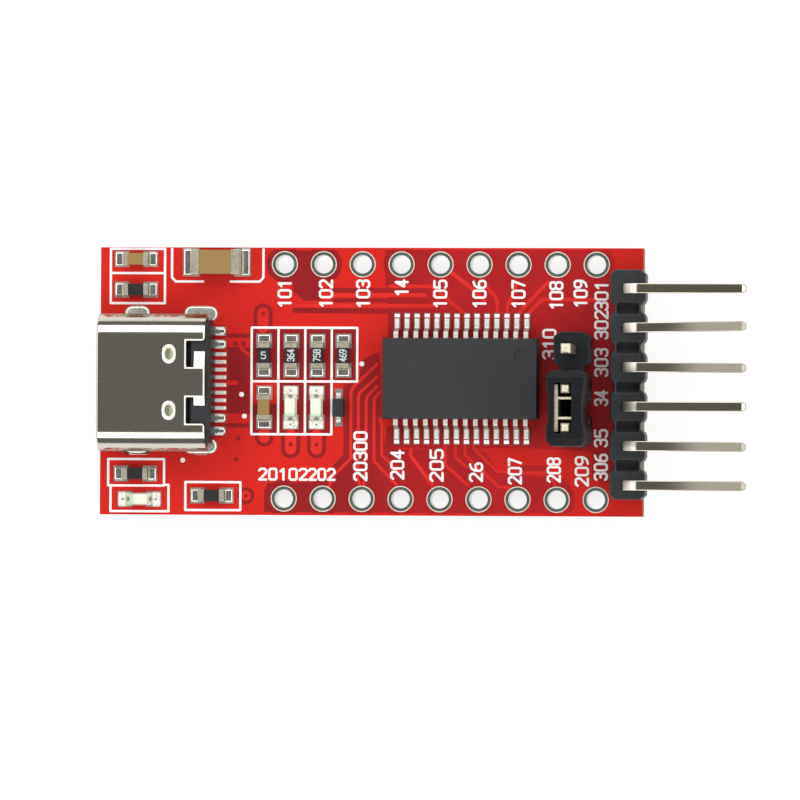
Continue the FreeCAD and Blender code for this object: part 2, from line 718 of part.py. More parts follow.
def make_socket_housing(shell, contacts, mid_plate):
    """The plastic block at the back of the shell, with the tongue that the blades lie on."""
    front = SHELL_REAR - HOUSING_DEPTH
    base = tube_section(front, SHELL_REAR, SHELL_WIDTH - 2 * SHELL_WALL - HOUSING_FIT,
                        SHELL_HEIGHT - 2 * SHELL_WALL - HOUSING_FIT, SHELL_MID_Z)
    front_edges = [edge for edge in base.Edges if edge.BoundBox.XMax < front + 0.01]
    base = base.makeFillet(HOUSING_ROUND, front_edges)
    tail_half = SHELL_HALF - TAIL_INSET
    tail = box(SHELL_REAR - JOIN, SHELL_REAR + HOUSING_TAIL, -tail_half, tail_half,
               TOP + SHELL_WALL, TOP + SHELL_HEIGHT - SHELL_WALL)
    half = TONGUE_WIDTH / 2
    collar = box(front - COLLAR_LENGTH, front + JOIN, -half - COLLAR_SIDE, half + COLLAR_SIDE,
                 SHELL_MID_Z - COLLAR_HALF_HEIGHT, SHELL_MID_Z + COLLAR_HALF_HEIGHT)
    block_parts = fuse([base, tail, collar])
    block_parts.translate(vec(0, SHELL_Y, 0))
    outline = tongue_outline(SHELL_FRONT + TONGUE_SETBACK, front + JOIN, half, TONGUE_CORNER)
    tongue = plate(outline, SHELL_MID_Z - TONGUE_THICKNESS / 2, SHELL_MID_Z + TONGUE_THICKNESS / 2)
    return fuse([block_parts, tongue]).cut([shell, mid_plate] + contacts)


def leg_solder(shell):
    """Solder that fills each leg's slot and spreads over the pads above and below it."""
    joints = []
    for x, side, (leg, slot, pad) in leg_places():
        y = SHELL_Y + leg_y(side)
        fill = oval(x, y, -PLATING, PAD_TOP, slot, LEG_SLOT_WIDTH)
        above = oval(x, y, TOP, TOP + LEG_PAD_WALL, pad, LEG_PAD_WIDTH)
        below = oval(x, y, -LEG_PAD_WALL, 0, pad, LEG_PAD_WIDTH)
        step = 2 * LEG_PAD_WALL
        rims = [oval_wire(x, y, TOP + LEG_PAD_WALL, pad - step, LEG_PAD_WIDTH - step),
                oval_wire(x, y, TOP + LEG_MOUND, leg + step / 2, LEG_WALL + step / 2)]
        mound = Part.makeLoft(rims, True, True)
        joint = fuse([fill, above, below, mound]).cut(shell)
        joints.append(max(joint.Solids, key=lambda solid: solid.Volume))
    return joints


# Headers and the jumper cap

def header_outline(middle_y, count, half_width, notch, end_low, end_high):
    """A row of pin cells seen from above, pinched on both sides between the cells."""
    half_row = (count - 1) / 2 * PITCH
    right = []
    low = middle_y - half_row - PITCH / 2 + end_low
    high = middle_y + half_row + PITCH / 2 - end_high
    pinch = HEADER_PINCH
    shoulder = HEADER_SHOULDER
    right.append((half_width - notch, low))
    right.append((half_width, low + END_SHARE * shoulder))
    for k in range(1, count):
        y = middle_y - half_row + (k - 0.5) * PITCH
        right.append((half_width, y - pinch - shoulder))
        right.append((half_width - 0.3 * notch, y - pinch - shoulder / 2))
        right.append((half_width - notch, y - pinch))
        right.append((half_width - notch, y + pinch))
        right.append((half_width - 0.3 * notch, y + pinch + shoulder / 2))
        right.append((half_width, y + pinch + shoulder))
    right.append((half_width, high - END_SHARE * shoulder))
    right.append((half_width - notch, high))
    left = [(-x, y) for x, y in reversed(right)]
    return right + left


def upright_pin(x, y):
    """A straight square pin, pointed a little at both ends."""
    half = PIN_WIDTH / 2
    low = -PIN_TAIL
    high = UPRIGHT_TOP + UPRIGHT_REACH
    outline = [(-half, low + PIN_POINT), (PIN_POINT - half, low), (half - PIN_POINT, low),
               (half, low + PIN_POINT), (half, high - PIN_POINT), (half - PIN_POINT, high),
               (PIN_POINT - half, high), (-half, high - PIN_POINT)]
    across = bar_along_y(outline, -half, half)
    along = bar_along_x(outline, -half, half)
    pin = across.common(along)
    pin.translate(vec(x, y, 0))
    return pin


def make_upright_housing(pins):
    outline = header_outline(UPRIGHT_MIDDLE_Y, UPRIGHT_PINS, UPRIGHT_WIDTH / 2, UPRIGHT_NOTCH, *UPRIGHT_ENDS)
    body = plate([(UPRIGHT_X + x, y) for x, y in outline], PAD_TOP, UPRIGHT_TOP)
    return body.cut(pins)


def side_pin(x, y, lean):
    """A square pin that stands in the board, bends over and runs out past the edge."""
    half = PIN_WIDTH / 2
    low = -PIN_TAIL
    stem_outline = [(-half, low + PIN_POINT), (PIN_POINT - half, low), (half - PIN_POINT, low),
                    (half, low + PIN_POINT), (half, SIDE_TOP), (-half, SIDE_TOP)]
    stem = bar_along_y(stem_outline, -half, half).common(bar_along_x(stem_outline, -half, half))
    corners = [vec(-half, -half, SIDE_TOP), vec(half, -half, SIDE_TOP),
               vec(half, half, SIDE_TOP), vec(-half, half, SIDE_TOP)]
    section = Part.Face(Part.makePolygon(corners + corners[:1]))
    bend = section.revolve(vec(SIDE_BEND, 0, SIDE_TOP), vec(0, 1, 0), 90)
    end = BOARD_RIGHT + SIDE_REACH - SIDE_X
    run_outline = [(SIDE_BEND, -half), (end - PIN_POINT * 2, -half), (end, PIN_POINT - half),
                   (end, half - PIN_POINT), (end - PIN_POINT * 2, half), (SIDE_BEND, half)]
    flat = plate(run_outline, SIDE_RUN_Z - half, SIDE_RUN_Z + half)
    tall = bar_along_y([(a, SIDE_RUN_Z + b) for a, b in run_outline], -half, half)
    pin = fuse([stem, bend, flat.common(tall)])
    pin.rotate(vec(0, 0, 0), vec(0, 0, 1), math.degrees(lean / end))
    pin.translate(vec(x, y, 0))
    return pin


def make_side_housing(pins):
    """The side header's plastic, with a shallow V pocket in its top between the pins."""
    outline = header_outline(SIDE_Y, SIDE_PINS, SIDE_WIDTH / 2, SIDE_NOTCH, *SIDE_ENDS)
    body = plate([(SIDE_X + x, y) for x, y in outline], PAD_TOP, SIDE_TOP)
    pockets = []
    for x, y in side_places()[:-1]:
        neck = y - PITCH / 2
        floor_z = SIDE_TOP - POCKET_DEPTH
        pocket = [(neck - POCKET_HALF, SIDE_TOP), (neck, floor_z), (neck + POCKET_HALF, SIDE_TOP)]
        pockets.append(bar_along_x(pocket, SIDE_X - POCKET_REACH, SIDE_X + POCKET_REACH))
    return body.cut(pockets + pins)


def pin_solder(x, y, pin):
    """Solder round a pin's tail: it fills the plated hole and tapers down the tail."""
    fill = cylinder(x, y, -PLATING, TOP, HEADER_HOLE)
    foot = vec(x, y, -PLATING - SOLDER_CONE)
    cone = Part.makeCone(PIN_WIDTH * 0.6, HEADER_RING - PLATING, SOLDER_CONE, foot)
    return fuse([fill, cone]).cut(pin)


def make_jumper_housing():
    """The cap's plastic: a waisted block with sloped ends and an open window down through it."""
    low = UPRIGHT_TOP
    high = low + JUMPER_HEIGHT
    half_x = JUMPER_WIDTH / 2
    half_y = JUMPER_LENGTH / 2
    corner = JUMPER_CORNER
    waist_x = half_x - JUMPER_WAIST
    slope_y = JUMPER_WAIST_HALF + JUMPER_WAIST_SLOPE
    right = [(half_x - corner, -half_y), (half_x, corner - half_y), (half_x, -slope_y),
             (waist_x, -JUMPER_WAIST_HALF), (waist_x, JUMPER_WAIST_HALF),
             (half_x, slope_y), (half_x, half_y - corner), (half_x - corner, half_y)]
    outline = right + [(-x, y) for x, y in reversed(right)]
    body = plate(outline, low, high)
    run, drop = JUMPER_END_BEVEL
    length_profile = [(-half_y, low), (half_y, low), (half_y, high - drop), (half_y - run, high),
                      (run - half_y, high), (-half_y, high - drop)]
    body = body.common(bar_along_x(length_profile, -half_x, half_x))
    edge = JUMPER_EDGE
    width_profile = [(-half_x, low), (half_x, low), (half_x, high - edge), (half_x - edge, high),
                     (edge - half_x, high), (-half_x, high - edge)]
    body = body.common(bar_along_y(width_profile, -half_y, half_y))
    window = box(-WINDOW_LEFT, WINDOW_RIGHT, -WINDOW_HALF, WINDOW_HALF, low, high)
    body = body.cut(window)
    body.translate(vec(UPRIGHT_X, JUMPER_Y, 0))
    return body


def make_jumper_contact():
    """The cap's spring: a back strip with two bowed leaves, each beside one pin."""
    low = UPRIGHT_TOP + 0.1 * JUMPER_HEIGHT
    high = UPRIGHT_TOP + 0.91 * JUMPER_HEIGHT
    half = WINDOW_HALF - 3 * JUMPER_CLEARANCE
    back = box(-WINDOW_LEFT, SPRING_WALL - WINDOW_LEFT, -half, half, low, high)
    touch = PITCH / 2 - PIN_WIDTH / 2 - LEAF_CLEARANCE - LEAF_WALL / 2
    leaves = []
    for side in (-1, 1):
        path = [(side * (touch - 0.27), low + 0.05 * JUMPER_HEIGHT),
                (side * touch, low + 0.37 * JUMPER_HEIGHT), (side * (touch - 0.21), high)]
        outline = strip(path, LEAF_WALL)
        leaves.append(bar_along_x(outline, -WINDOW_LEFT + SPRING_WALL / 2, WINDOW_RIGHT - JUMPER_CLEARANCE))
    contact = fuse([back] + leaves)
    contact.translate(vec(UPRIGHT_X, JUMPER_Y, 0))
    return contact


def main():
    os.makedirs("parts", exist_ok=True)

    save("circuit_board", [make_board()])
    ring = HOLE_RADIUS + RING_WIDTH
    save("upper_hole_plating", [plated_hole(x, y, HOLE_RADIUS, ring) for x, y in hole_row(ROW_Y)])
    save("lower_hole_plating", [plated_hole(x, y, HOLE_RADIUS, ring) for x, y in hole_row(-ROW_Y)])
    header_places = upright_places() + side_places()
    save("header_hole_plating", [plated_hole(x, y, HEADER_HOLE, HEADER_RING) for x, y in header_places])

    pads = chip_pads() + socket_lead_pads()
    solder = []
    for place in RESISTORS:
        pads += pads_under(RESISTOR_SIZE, place)
        solder += solder_at_ends(RESISTOR_SIZE, place, 0.36)
    for place in CAPACITORS:
        size = place[3]
        pads += pads_under(size, place)
        solder += solder_at_ends(size, place, size[2] * 0.7)
    for place in LEDS:
        pads += pads_under(LED_SIZE, place)
        solder += solder_at_ends(LED_SIZE, place, LED_SIZE[2])
    pads += pads_under(DIODE_PAD, DIODE_PLACE)
    save("surface_pads", pads)
    save("component_solder", solder)

    for number, place in enumerate(RESISTORS, 1):
        save("resistor_%d_body" % number, [chip_body(RESISTOR_SIZE, place)])
        save("resistor_%d_ends" % number, chip_caps(RESISTOR_SIZE, place, END_CAP, False))
    for number, place in enumerate(CAPACITORS, 1):
        size, cap_length = place[3:]
        save("capacitor_%d_body" % number, [chip_body(size, place)])
        save("capacitor_%d_ends" % number, chip_caps(size, place, cap_length, True))
    for number, place in enumerate(LEDS, 1):
        save("led_%d_base" % number, [led_base(place)])
        save("led_%d_lens" % number, [led_lens(place)])
    save("diode_body", [diode_body(DIODE_PLACE)])
    save("diode_leads", diode_leads(DIODE_PLACE))

    chip = make_chip_body()
    leads = [make_chip_lead(x, side) for x, side in lead_rows()]
    save("chip_body", [chip.cut(leads)])
    save("chip_leads", leads)
    save("chip_solder", chip_solder())

    shell = make_shell()
    contacts = [make_contact(y, width, runs) for y, width, runs in socket_contact_rows()]
    mid_plate = make_mid_plate()
    save("socket_shell", [shell])
    save("socket_contacts", contacts)
    save("socket_mid_plate", [mid_plate])
    save("socket_housing", [make_socket_housing(shell, contacts, mid_plate)])
    save("socket_leg_solder", leg_solder(shell))
    save("socket_lead_solder", socket_lead_solder())

    upright_pins = [upright_pin(x, y) for x, y in upright_places()]
    save("upright_header_housing", [make_upright_housing(upright_pins)])
    for number, pin in enumerate(upright_pins, 1):
        save("upright_header_pin_%d" % number, [pin])
    joints = [pin_solder(x, y, pin) for (x, y), pin in zip(upright_places(), upright_pins)]
    save("upright_header_solder", joints)

    side_pins = [side_pin(x, y, lean) for (x, y), lean in zip(side_places(), SIDE_LEAN)]
    save("side_header_housing", [make_side_housing(side_pins)])
    for number, pin in enumerate(side_pins, 1):
        save("side_header_pin_%d" % number, [pin])
    joints = [pin_solder(x, y, pin) for (x, y), pin in zip(side_places(), side_pins)]
    save("side_header_solder", joints)

    save("jumper_housing", [make_jumper_housing()])
    save("jumper_contact", [make_jumper_contact()])


main()
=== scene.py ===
import itertools
import json
import math

import bmesh
import bpy
from mathutils import Euler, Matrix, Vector
from mathutils.geometry import tessellate_polygon


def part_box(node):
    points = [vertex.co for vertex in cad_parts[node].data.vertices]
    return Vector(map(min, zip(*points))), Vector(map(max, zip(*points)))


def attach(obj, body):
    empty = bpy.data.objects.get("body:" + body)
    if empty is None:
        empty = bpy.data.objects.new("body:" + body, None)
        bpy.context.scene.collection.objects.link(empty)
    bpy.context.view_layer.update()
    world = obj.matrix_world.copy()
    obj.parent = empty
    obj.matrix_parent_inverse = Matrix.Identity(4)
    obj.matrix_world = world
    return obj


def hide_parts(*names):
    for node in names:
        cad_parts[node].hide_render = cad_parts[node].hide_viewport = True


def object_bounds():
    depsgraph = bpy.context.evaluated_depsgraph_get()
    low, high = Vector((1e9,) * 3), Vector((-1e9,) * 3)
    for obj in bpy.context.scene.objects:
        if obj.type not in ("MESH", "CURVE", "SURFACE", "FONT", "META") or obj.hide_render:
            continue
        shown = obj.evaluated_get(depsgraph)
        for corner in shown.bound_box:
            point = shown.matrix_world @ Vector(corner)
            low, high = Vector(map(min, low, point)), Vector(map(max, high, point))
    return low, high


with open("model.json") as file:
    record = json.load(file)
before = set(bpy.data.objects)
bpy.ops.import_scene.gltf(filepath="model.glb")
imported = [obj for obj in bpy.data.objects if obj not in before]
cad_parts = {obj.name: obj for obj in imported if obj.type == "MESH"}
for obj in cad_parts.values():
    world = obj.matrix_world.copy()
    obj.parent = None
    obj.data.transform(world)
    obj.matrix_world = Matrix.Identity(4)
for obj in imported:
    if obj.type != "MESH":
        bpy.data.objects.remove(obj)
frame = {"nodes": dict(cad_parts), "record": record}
cad_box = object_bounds()

# Heights and places in millimetres, taken from the frame
MM = 0.001


def low_corner(node):
    return Vector(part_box(node)[0]) / MM


def high_corner(node):
    return Vector(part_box(node)[1]) / MM


BOARD_HIGH = high_corner("circuit_board")
TOP = BOARD_HIGH.z
PITCH = 2.54
ROW_Y = 3 * PITCH
ROW_X = [(k - 4) * PITCH for k in range(9)]
SHELL_REAR = high_corner("socket_shell").x
AXES = "xyz"


class Value:
    """A shader socket that adds a Math node for each operation on it."""

    def __init__(self, finish, socket):
        self.finish = finish
        self.socket = socket

    def math(self, operation, first, second=0.0):
        return self.finish.node("Math", {"operation": operation}, {0: first, 1: second})

    def __add__(self, other):
        return self.math("ADD", self, other)

    def __radd__(self, other):
        return self.math("ADD", other, self)

    def __sub__(self, other):
        return self.math("SUBTRACT", self, other)

    def __rsub__(self, other):
        return self.math("SUBTRACT", other, self)

    def __mul__(self, other):
        return self.math("MULTIPLY", self, other)

    def __rmul__(self, other):
        return self.math("MULTIPLY", other, self)

    def __truediv__(self, other):
        return self.math("DIVIDE", self, other)

    def __rtruediv__(self, other):
        return self.math("DIVIDE", other, self)

    def __gt__(self, other):
        return self.math("GREATER_THAN", self, other)

    def __lt__(self, other):
        return self.math("LESS_THAN", self, other)

    def __abs__(self):
        return self.math("ABSOLUTE", self)

    def between(self, low, high):
        """0 below low, 1 above high, and a smooth slope between them."""
        settings = {"interpolation_type": "SMOOTHSTEP"}
        return self.finish.node("MapRange", settings, {"Value": self, "From Min": low, "From Max": high})


class Finish:
    """One material: its Principled shader, its nodes and what feeds its sockets."""

    def __init__(self, name, color, roughness=0.5, metallic=0.0, **constants):
        self.material = bpy.data.materials.new(name)
        self.material.use_nodes = True
        self.tree = self.material.node_tree
        self.shader = self.tree.nodes["Principled BSDF"]
        self.set("Base Color", color)
        self.set("Roughness", roughness)
        self.set("Metallic", metallic)
        for socket, value in constants.items():
            self.set(socket.replace("_", " ").title().replace("Ior", "IOR"), value)

    def feed(self, socket, value):
        if isinstance(value, Value):
            self.tree.links.new(value.socket, socket)
        elif isinstance(value, tuple) and len(value) == 3 and socket.type == "RGBA":
            socket.default_value = value + (1.0,)
        else:
            socket.default_value = value

    def set(self, socket, value):
        self.feed(self.shader.inputs[socket], value)

    def node(self, kind, settings=None, inputs=None, output=0):
        """Adds a node: first its settings, then the values and links of its sockets."""
        made = self.tree.nodes.new("ShaderNode" + kind)
        for name, setting in (settings or {}).items():
            setattr(made, name, setting)
        for name, value in (inputs or {}).items():
            self.feed(made.inputs[name], value)
        return Value(self, made.outputs[output])

    def place(self, axis):
        """The point on the object along one axis, in millimetres."""
        point = self.node("TexCoord", output="Object")
        return self.node("SeparateXYZ", inputs={0: point}, output=AXES.index(axis)) / MM

    def facing(self, axis):
        """The surface's direction along one axis of the object, from -1 to 1."""
        normal = self.node("TexCoord", output="Normal")
        return self.node("SeparateXYZ", inputs={0: normal}, output=AXES.index(axis))

    def noise(self, size_mm, detail=3.0, stretch=(1, 1, 1)):
        """Noise from 0 to 1 with features of about size_mm, longer on an axis by its stretch."""
        point = self.node("TexCoord", output="Object")
        scale = tuple(1 / (size_mm * MM * length) for length in stretch)
        scaled = self.node("VectorMath", {"operation": "MULTIPLY"}, {0: point, 1: scale})
        return self.node("TexNoise", inputs={"Vector": scaled, "Scale": 1.0, "Detail": detail})

    def mix(self, share, first, second):
        """A colour: first where share is 0, second where it is 1."""
        return self.node("Mix", {"data_type": "RGBA"}, {0: share, 6: first, 7: second}, output=2)

    def bump(self, height, depth_mm, strength=1.0):
        inputs = {"Height": height, "Distance": depth_mm * MM, "Strength": strength}
        self.set("Normal", self.node("Bump", inputs=inputs))


def srgb(red, green, blue):
    """A colour given as 0 to 255 on screen, as the shader's linear values."""
    shares = [level / 255 for level in (red, green, blue)]
    return tuple(s / 12.92 if s <= 0.04045 else ((s + 0.055) / 1.055) ** 2.4 for s in shares)


# Finishes

MASK_GLOSS = 0.35
COPPER_EDGE = 0.05
# Span along the board over which the bare lacquer's painted shade fades out towards the pins
GAP_SHADE_SPAN = (-8.0, 2.0)


def solder_mask(name, bright, dim, roughness=0.16):
    """Red lacquer over copper or laminate, a little uneven in tone and surface."""
    finish = Finish(name, bright, roughness, specular_ior_level=MASK_GLOSS)
    cloud = finish.noise(3.5, 2.0).between(0.3, 0.7)
    finish.set("Base Color", finish.mix(cloud, bright, dim))
    finish.set("Roughness", roughness + 0.06 * finish.noise(0.4))
    finish.bump(finish.noise(0.3, 3.0), 0.002, 0.5)
    return finish


def board_finish():
    """Red lacquer on both faces; on the edges, layers of pale glass cloth."""
    bright = srgb(208, 38, 30)
    dim = srgb(202, 36, 32)
    finish = Finish("board_laminate", bright, 0.36, specular_ior_level=MASK_GLOSS)
    cloud = finish.noise(3.5, 2.0).between(0.3, 0.7)
    lacquer = finish.mix(cloud, bright, dim)
    layers = finish.noise(0.16, 2.0, (30, 30, 1))
    laminate = finish.mix(layers, srgb(196, 186, 140), srgb(148, 132, 84))
    edge = abs(finish.facing("z")) < 0.5
    copper_line = abs(abs(finish.place("z") - TOP / 2) - TOP / 2) < COPPER_EDGE
    laminate = finish.mix(copper_line, laminate, srgb(150, 40, 30))
    finish.set("Base Color", finish.mix(edge, lacquer, laminate))
    finish.set("Roughness", 0.16 + 0.45 * edge + 0.06 * finish.noise(0.4))
    finish.bump(finish.noise(0.3, 3.0), 0.002, 0.5)
    return finish


def bare_mask():
    """Lacquer over bare laminate: darker towards the socket than towards the pins, a painted shade of the
    copper edges along the narrow gaps there.
    """
    finish = Finish("mask_over_laminate", srgb(150, 30, 34), 0.2, specular_ior_level=MASK_GLOSS)
    along = finish.place("x").between(*GAP_SHADE_SPAN)
    tone = finish.mix(along, srgb(146, 30, 34), srgb(178, 32, 36))
    cloud = finish.noise(2.2, 3.0).between(0.3, 0.75)
    finish.set("Base Color", finish.mix(0.35 * cloud, tone, srgb(132, 28, 30)))
    finish.bump(finish.noise(0.25, 3.0), 0.002, 0.6)
    return finish


def silk_print():
    """White print, a little thin at its edges where the red shows through."""
    finish = Finish("white_print", srgb(250, 240, 240), 0.55)
    thin = finish.noise(0.12, 3.0).between(0.62, 0.8)
    finish.set("Base Color", finish.mix(0.35 * thin, srgb(250, 242, 242), srgb(232, 150, 150)))
    finish.bump(finish.noise(0.05, 2.0), 0.004, 0.6)
    return finish


def bright_tin(name, color, roughness, grain_mm=0.12, depth=0.006):
    """Tin or solder: bright metal with a slightly lumpy, frosted skin."""
    finish = Finish(name, color, roughness, 1.0)
    frost = finish.noise(grain_mm, 4.0)
    dull = tuple(0.72 * level for level in color)
    finish.set("Base Color", finish.mix(frost.between(0.4, 0.75), color, dull))
    finish.set("Roughness", roughness + 0.18 * finish.noise(grain_mm * 2.5))
    finish.bump(finish.noise(grain_mm * 1.6, 3.0), depth, 0.8)
    return finish


def lead_finish():
    """Tinned leads: white flats, and slopes that stand in the shade and mirror the red board."""
    finish = Finish("lead_tin", srgb(250, 248, 240), 0.55, 1.0)
    steep = 1.0 - abs(finish.facing("z")).between(0.55, 0.85)
    frost = finish.noise(0.12, 4.0).between(0.4, 0.75)
    flat = finish.mix(0.4 * frost, srgb(254, 252, 246), srgb(226, 224, 212))
    finish.set("Base Color", finish.mix(0.7 * steep, flat, srgb(120, 96, 90)))
    finish.bump(finish.noise(0.2, 3.0), 0.004, 0.6)
    return finish


# The two dimples in the socket's roof: their places, half sizes and the share within their rims
DIMPLE_SETBACK = 2.32
DIMPLE_X = SHELL_REAR - DIMPLE_SETBACK
DIMPLE_MIDDLE_Y = -0.12
DIMPLE_Y = 1.83
DIMPLE_HALF = (0.45, 0.62)
DIMPLE_INNER = 0.4
DIMPLE_FLOOR = 4.2

# The cut edge round the two slots and along the roof's rear, painted as a bright highlight
SLOT_DEPTH = 1.21
SLOT_HALF = 0.86
CUT_EDGE = 0.1
ROOF_FLAT = 4.75


def shell_finish():
    """Plated sheet steel with a fine brushed grain along the tube and faint scuffs, painted shade on its
    sides, painted highlights on the dimples' rims and cut edges, and a painted reflection in the dimples'
    floors.
    """
    finish = Finish("plated_steel", srgb(214, 208, 196), 0.2, 1.0)
    grain = finish.noise(0.05, 3.0, (60, 1, 1))
    scuff = finish.noise(0.5, 5.0, (4, 1, 1)).between(0.62, 0.8)
    tone = finish.mix(grain, srgb(220, 215, 204), srgb(196, 190, 178))
    tone = finish.mix(0.3 * scuff, tone, srgb(150, 146, 136))
    up = finish.facing("z")
    side = 1.0 - abs(up).between(0.2, 0.5)
    x, y, z = [finish.place(axis) for axis in AXES]
    from_row = abs(y - DIMPLE_MIDDLE_Y) - DIMPLE_Y
    along = (x - DIMPLE_X) / DIMPLE_HALF[0]
    across = from_row / DIMPLE_HALF[1]
    reach = along * along + across * across
    within = (reach < 1.0) * (z > DIMPLE_FLOOR)
    rim = within * (reach > DIMPLE_INNER)
    bottom = within * (reach < DIMPLE_INNER)
    # Painted shade: faces turned sideways get a darker copy of the steel's colour
    tone = finish.mix(side, tone, srgb(176, 170, 156))
    at_slot = (abs(from_row) < SLOT_HALF + CUT_EDGE) * (x > SHELL_REAR - SLOT_DEPTH - CUT_EDGE)
    at_rear = x > SHELL_REAR - CUT_EDGE
    cut_edge_highlight = ((at_slot + at_rear) > 0.5) * (z > ROOF_FLAT) * (up > 0.5)
    # Painted highlight: the dimples' rims, the slots' edges and the roof's rear edge turn near white
    bright = (rim + cut_edge_highlight) > 0.5
    tone = finish.mix(bright, tone, srgb(254, 252, 238))
    # Painted reflection: the dimples' floors get a pale olive colour
    finish.set("Base Color", finish.mix(bottom, tone, srgb(200, 204, 168)))
    finish.set("Roughness", 0.09 + 0.05 * grain + 0.1 * scuff + 0.42 * side + 0.5 * bright + 0.22 * bottom)
    finish.bump(grain, 0.0003, 0.4)
    return finish


def moulded(name, color, light, roughness, grain_mm=0.1, depth=0.006, gloss=0.5):
    """Dark moulded plastic with a fine matt grain and a few paler worn spots."""
    finish = Finish(name, color, roughness, specular_ior_level=gloss)
    worn = finish.noise(0.8, 4.0).between(0.5, 0.8)
    finish.tone = finish.mix(0.5 * worn, color, light)
    finish.set("Base Color", finish.tone)
    finish.set("Roughness", roughness + 0.15 * finish.noise(grain_mm * 3))
    finish.bump(finish.noise(grain_mm, 3.0), depth, 0.8)
    return finish


def tip_finish():
    """Upright pins: pale cut tips above drawn sides that stand in the housing's shade."""
    finish = Finish("tip_metal", srgb(236, 228, 204), 0.5, 1.0)
    shaded = (1.0 - abs(finish.facing("z")).between(0.3, 0.6)) * (finish.place("z") > TOP)
    worn = finish.noise(0.15, 3.0).between(0.5, 0.8)
    tip = finish.mix(0.5 * worn, srgb(250, 242, 216), srgb(214, 206, 184))
    finish.set("Base Color", finish.mix(shaded, tip, srgb(136, 132, 122)))
    finish.bump(finish.noise(0.1, 2.0), 0.002, 0.5)
    return finish


# Places along the side pins: where the bend's painted shade and the bend's painted highlight end, and where
# the flats turn pale
BEND_SHADE = (11.9, 12.3)
BEND_END = (12.8, 13.1)
PALE_FLATS = (13.6, 17.5)
# The places across the board of the two side pins that stay dark to their tips, and each one's reach
DARK_PINS = (6.35, -1.27)
PIN_REACH = 1.0


def pin_finish():
    """Square pin stock, tinned: drawn lines along its length and dull flats, with the bend painted as a
    pale highlight and painted shade on its rear above the board.
    """
    finish = Finish("pin_stock", srgb(200, 194, 180), 0.3, 1.0)
    x, y, z = [finish.place(axis) for axis in AXES]
    near = 1.0 - x.between(*BEND_END)
    shaded = (1.0 - x.between(*BEND_SHADE)) * (z > TOP)
    dark_pins = (abs(y - DARK_PINS[0]) < PIN_REACH) + (abs(y - DARK_PINS[1]) < PIN_REACH)
    pale = x.between(*PALE_FLATS) * (1.0 - dark_pins)
    lines = finish.noise(0.05, 3.0, (40, 1, 40))
    tone = finish.mix(lines, srgb(206, 200, 186), srgb(176, 168, 150))
    # Painted highlight on the bend, with painted shade on its rear above the board
    bend_highlight_and_shade = finish.mix(0.75 * shaded, srgb(250, 246, 234), srgb(120, 118, 110))
    finish.set("Base Color", finish.mix(near, tone, bend_highlight_and_shade))
    finish.set("Roughness", 0.1 + 0.06 * lines + 0.4 * near + 0.34 * pale)
    finish.bump(lines, 0.002, 0.6)
    return finish


# Where the contacts' tails start, and how high above the board they stand in the housing's shade
TAIL_START = SHELL_REAR - 0.3
TAIL_SHADE = TOP + 0.4


def contact_finish():
    """Gold plate where the plug rubs, and matt tin on the tails behind the housing, with painted shade on
    the tails' upright faces and high parts.
    """
    finish = Finish("contact_plate", srgb(214, 178, 96), 0.25, 1.0)
    tail = finish.place("x") > TAIL_START
    wear = finish.noise(0.2, 4.0).between(0.5, 0.75)
    gold = finish.mix(0.4 * wear, srgb(214, 178, 96), srgb(190, 184, 168))
    tin = finish.mix(wear, srgb(254, 252, 242), srgb(236, 234, 222))
    # Painted shade: the tails' upright faces, and all above TAIL_SHADE, turn dark grey
    upright = (tail * (abs(finish.facing("z")) < 0.6) + (finish.place("z") > TAIL_SHADE)) > 0.5
    tin = finish.mix(upright, tin, srgb(104, 112, 114))
    finish.set("Base Color", finish.mix(tail, gold, tin))
    finish.set("Roughness", 0.22 + 0.36 * tail)
    finish.bump(finish.noise(0.1, 2.0), 0.002, 0.6)
    return finish


def chip_finish():
    """Moulded epoxy whose edge towards the socket catches the light."""
    finish = moulded("chip_epoxy", srgb(38, 39, 43), srgb(47, 48, 52), 0.55, 0.06, 0.01)
    lit = (1.0 - finish.facing("x").between(-0.6, -0.3)) * finish.facing("z").between(0.3, 0.5)
    finish.set("Base Color", finish.mix(0.8 * lit, finish.tone, srgb(206, 192, 192)))
    return finish


# Where the pale rim of the edge holes' rings starts, from the hole's middle
RING_RIM = 0.79


def ring_finish():
    """Tinned rings of the edge holes: a pale outer rim round a darker flat."""
    finish = Finish("ring_tin", srgb(196, 202, 194), 0.2, 1.0)
    along = finish.node("Math", {"operation": "WRAP"}, {0: finish.place("x"), 1: PITCH / 2, 2: -PITCH / 2})
    across = abs(finish.place("y")) - ROW_Y
    rim = (along * along + across * across) > RING_RIM * RING_RIM
    frost = finish.noise(0.3, 4.0).between(0.4, 0.75)
    flat = finish.mix(frost, srgb(206, 212, 204), srgb(170, 178, 172))
    finish.set("Base Color", finish.mix(rim, flat, srgb(244, 240, 222)))
    finish.set("Roughness", 0.16 + 0.1 * finish.noise(0.75) + 0.34 * rim)
    finish.bump(finish.noise(0.48, 3.0), 0.008, 0.8)
    return finish


def ceramic(name, color, light, roughness):
    finish = Finish(name, color, roughness)
    specks = finish.noise(0.06, 3.0).between(0.55, 0.75)
    finish.set("Base Color", finish.mix(specks, color, light))
    finish.bump(finish.noise(0.08, 3.0), 0.004, 0.8)
    return finish


# The green marks: across the board in the two upright lamps, along it in the lying one
UPRIGHT_MARK = (-2.3, -1.9)
LYING_MARK = (-20.1, -19.7)
UPRIGHT_LAMPS = -12


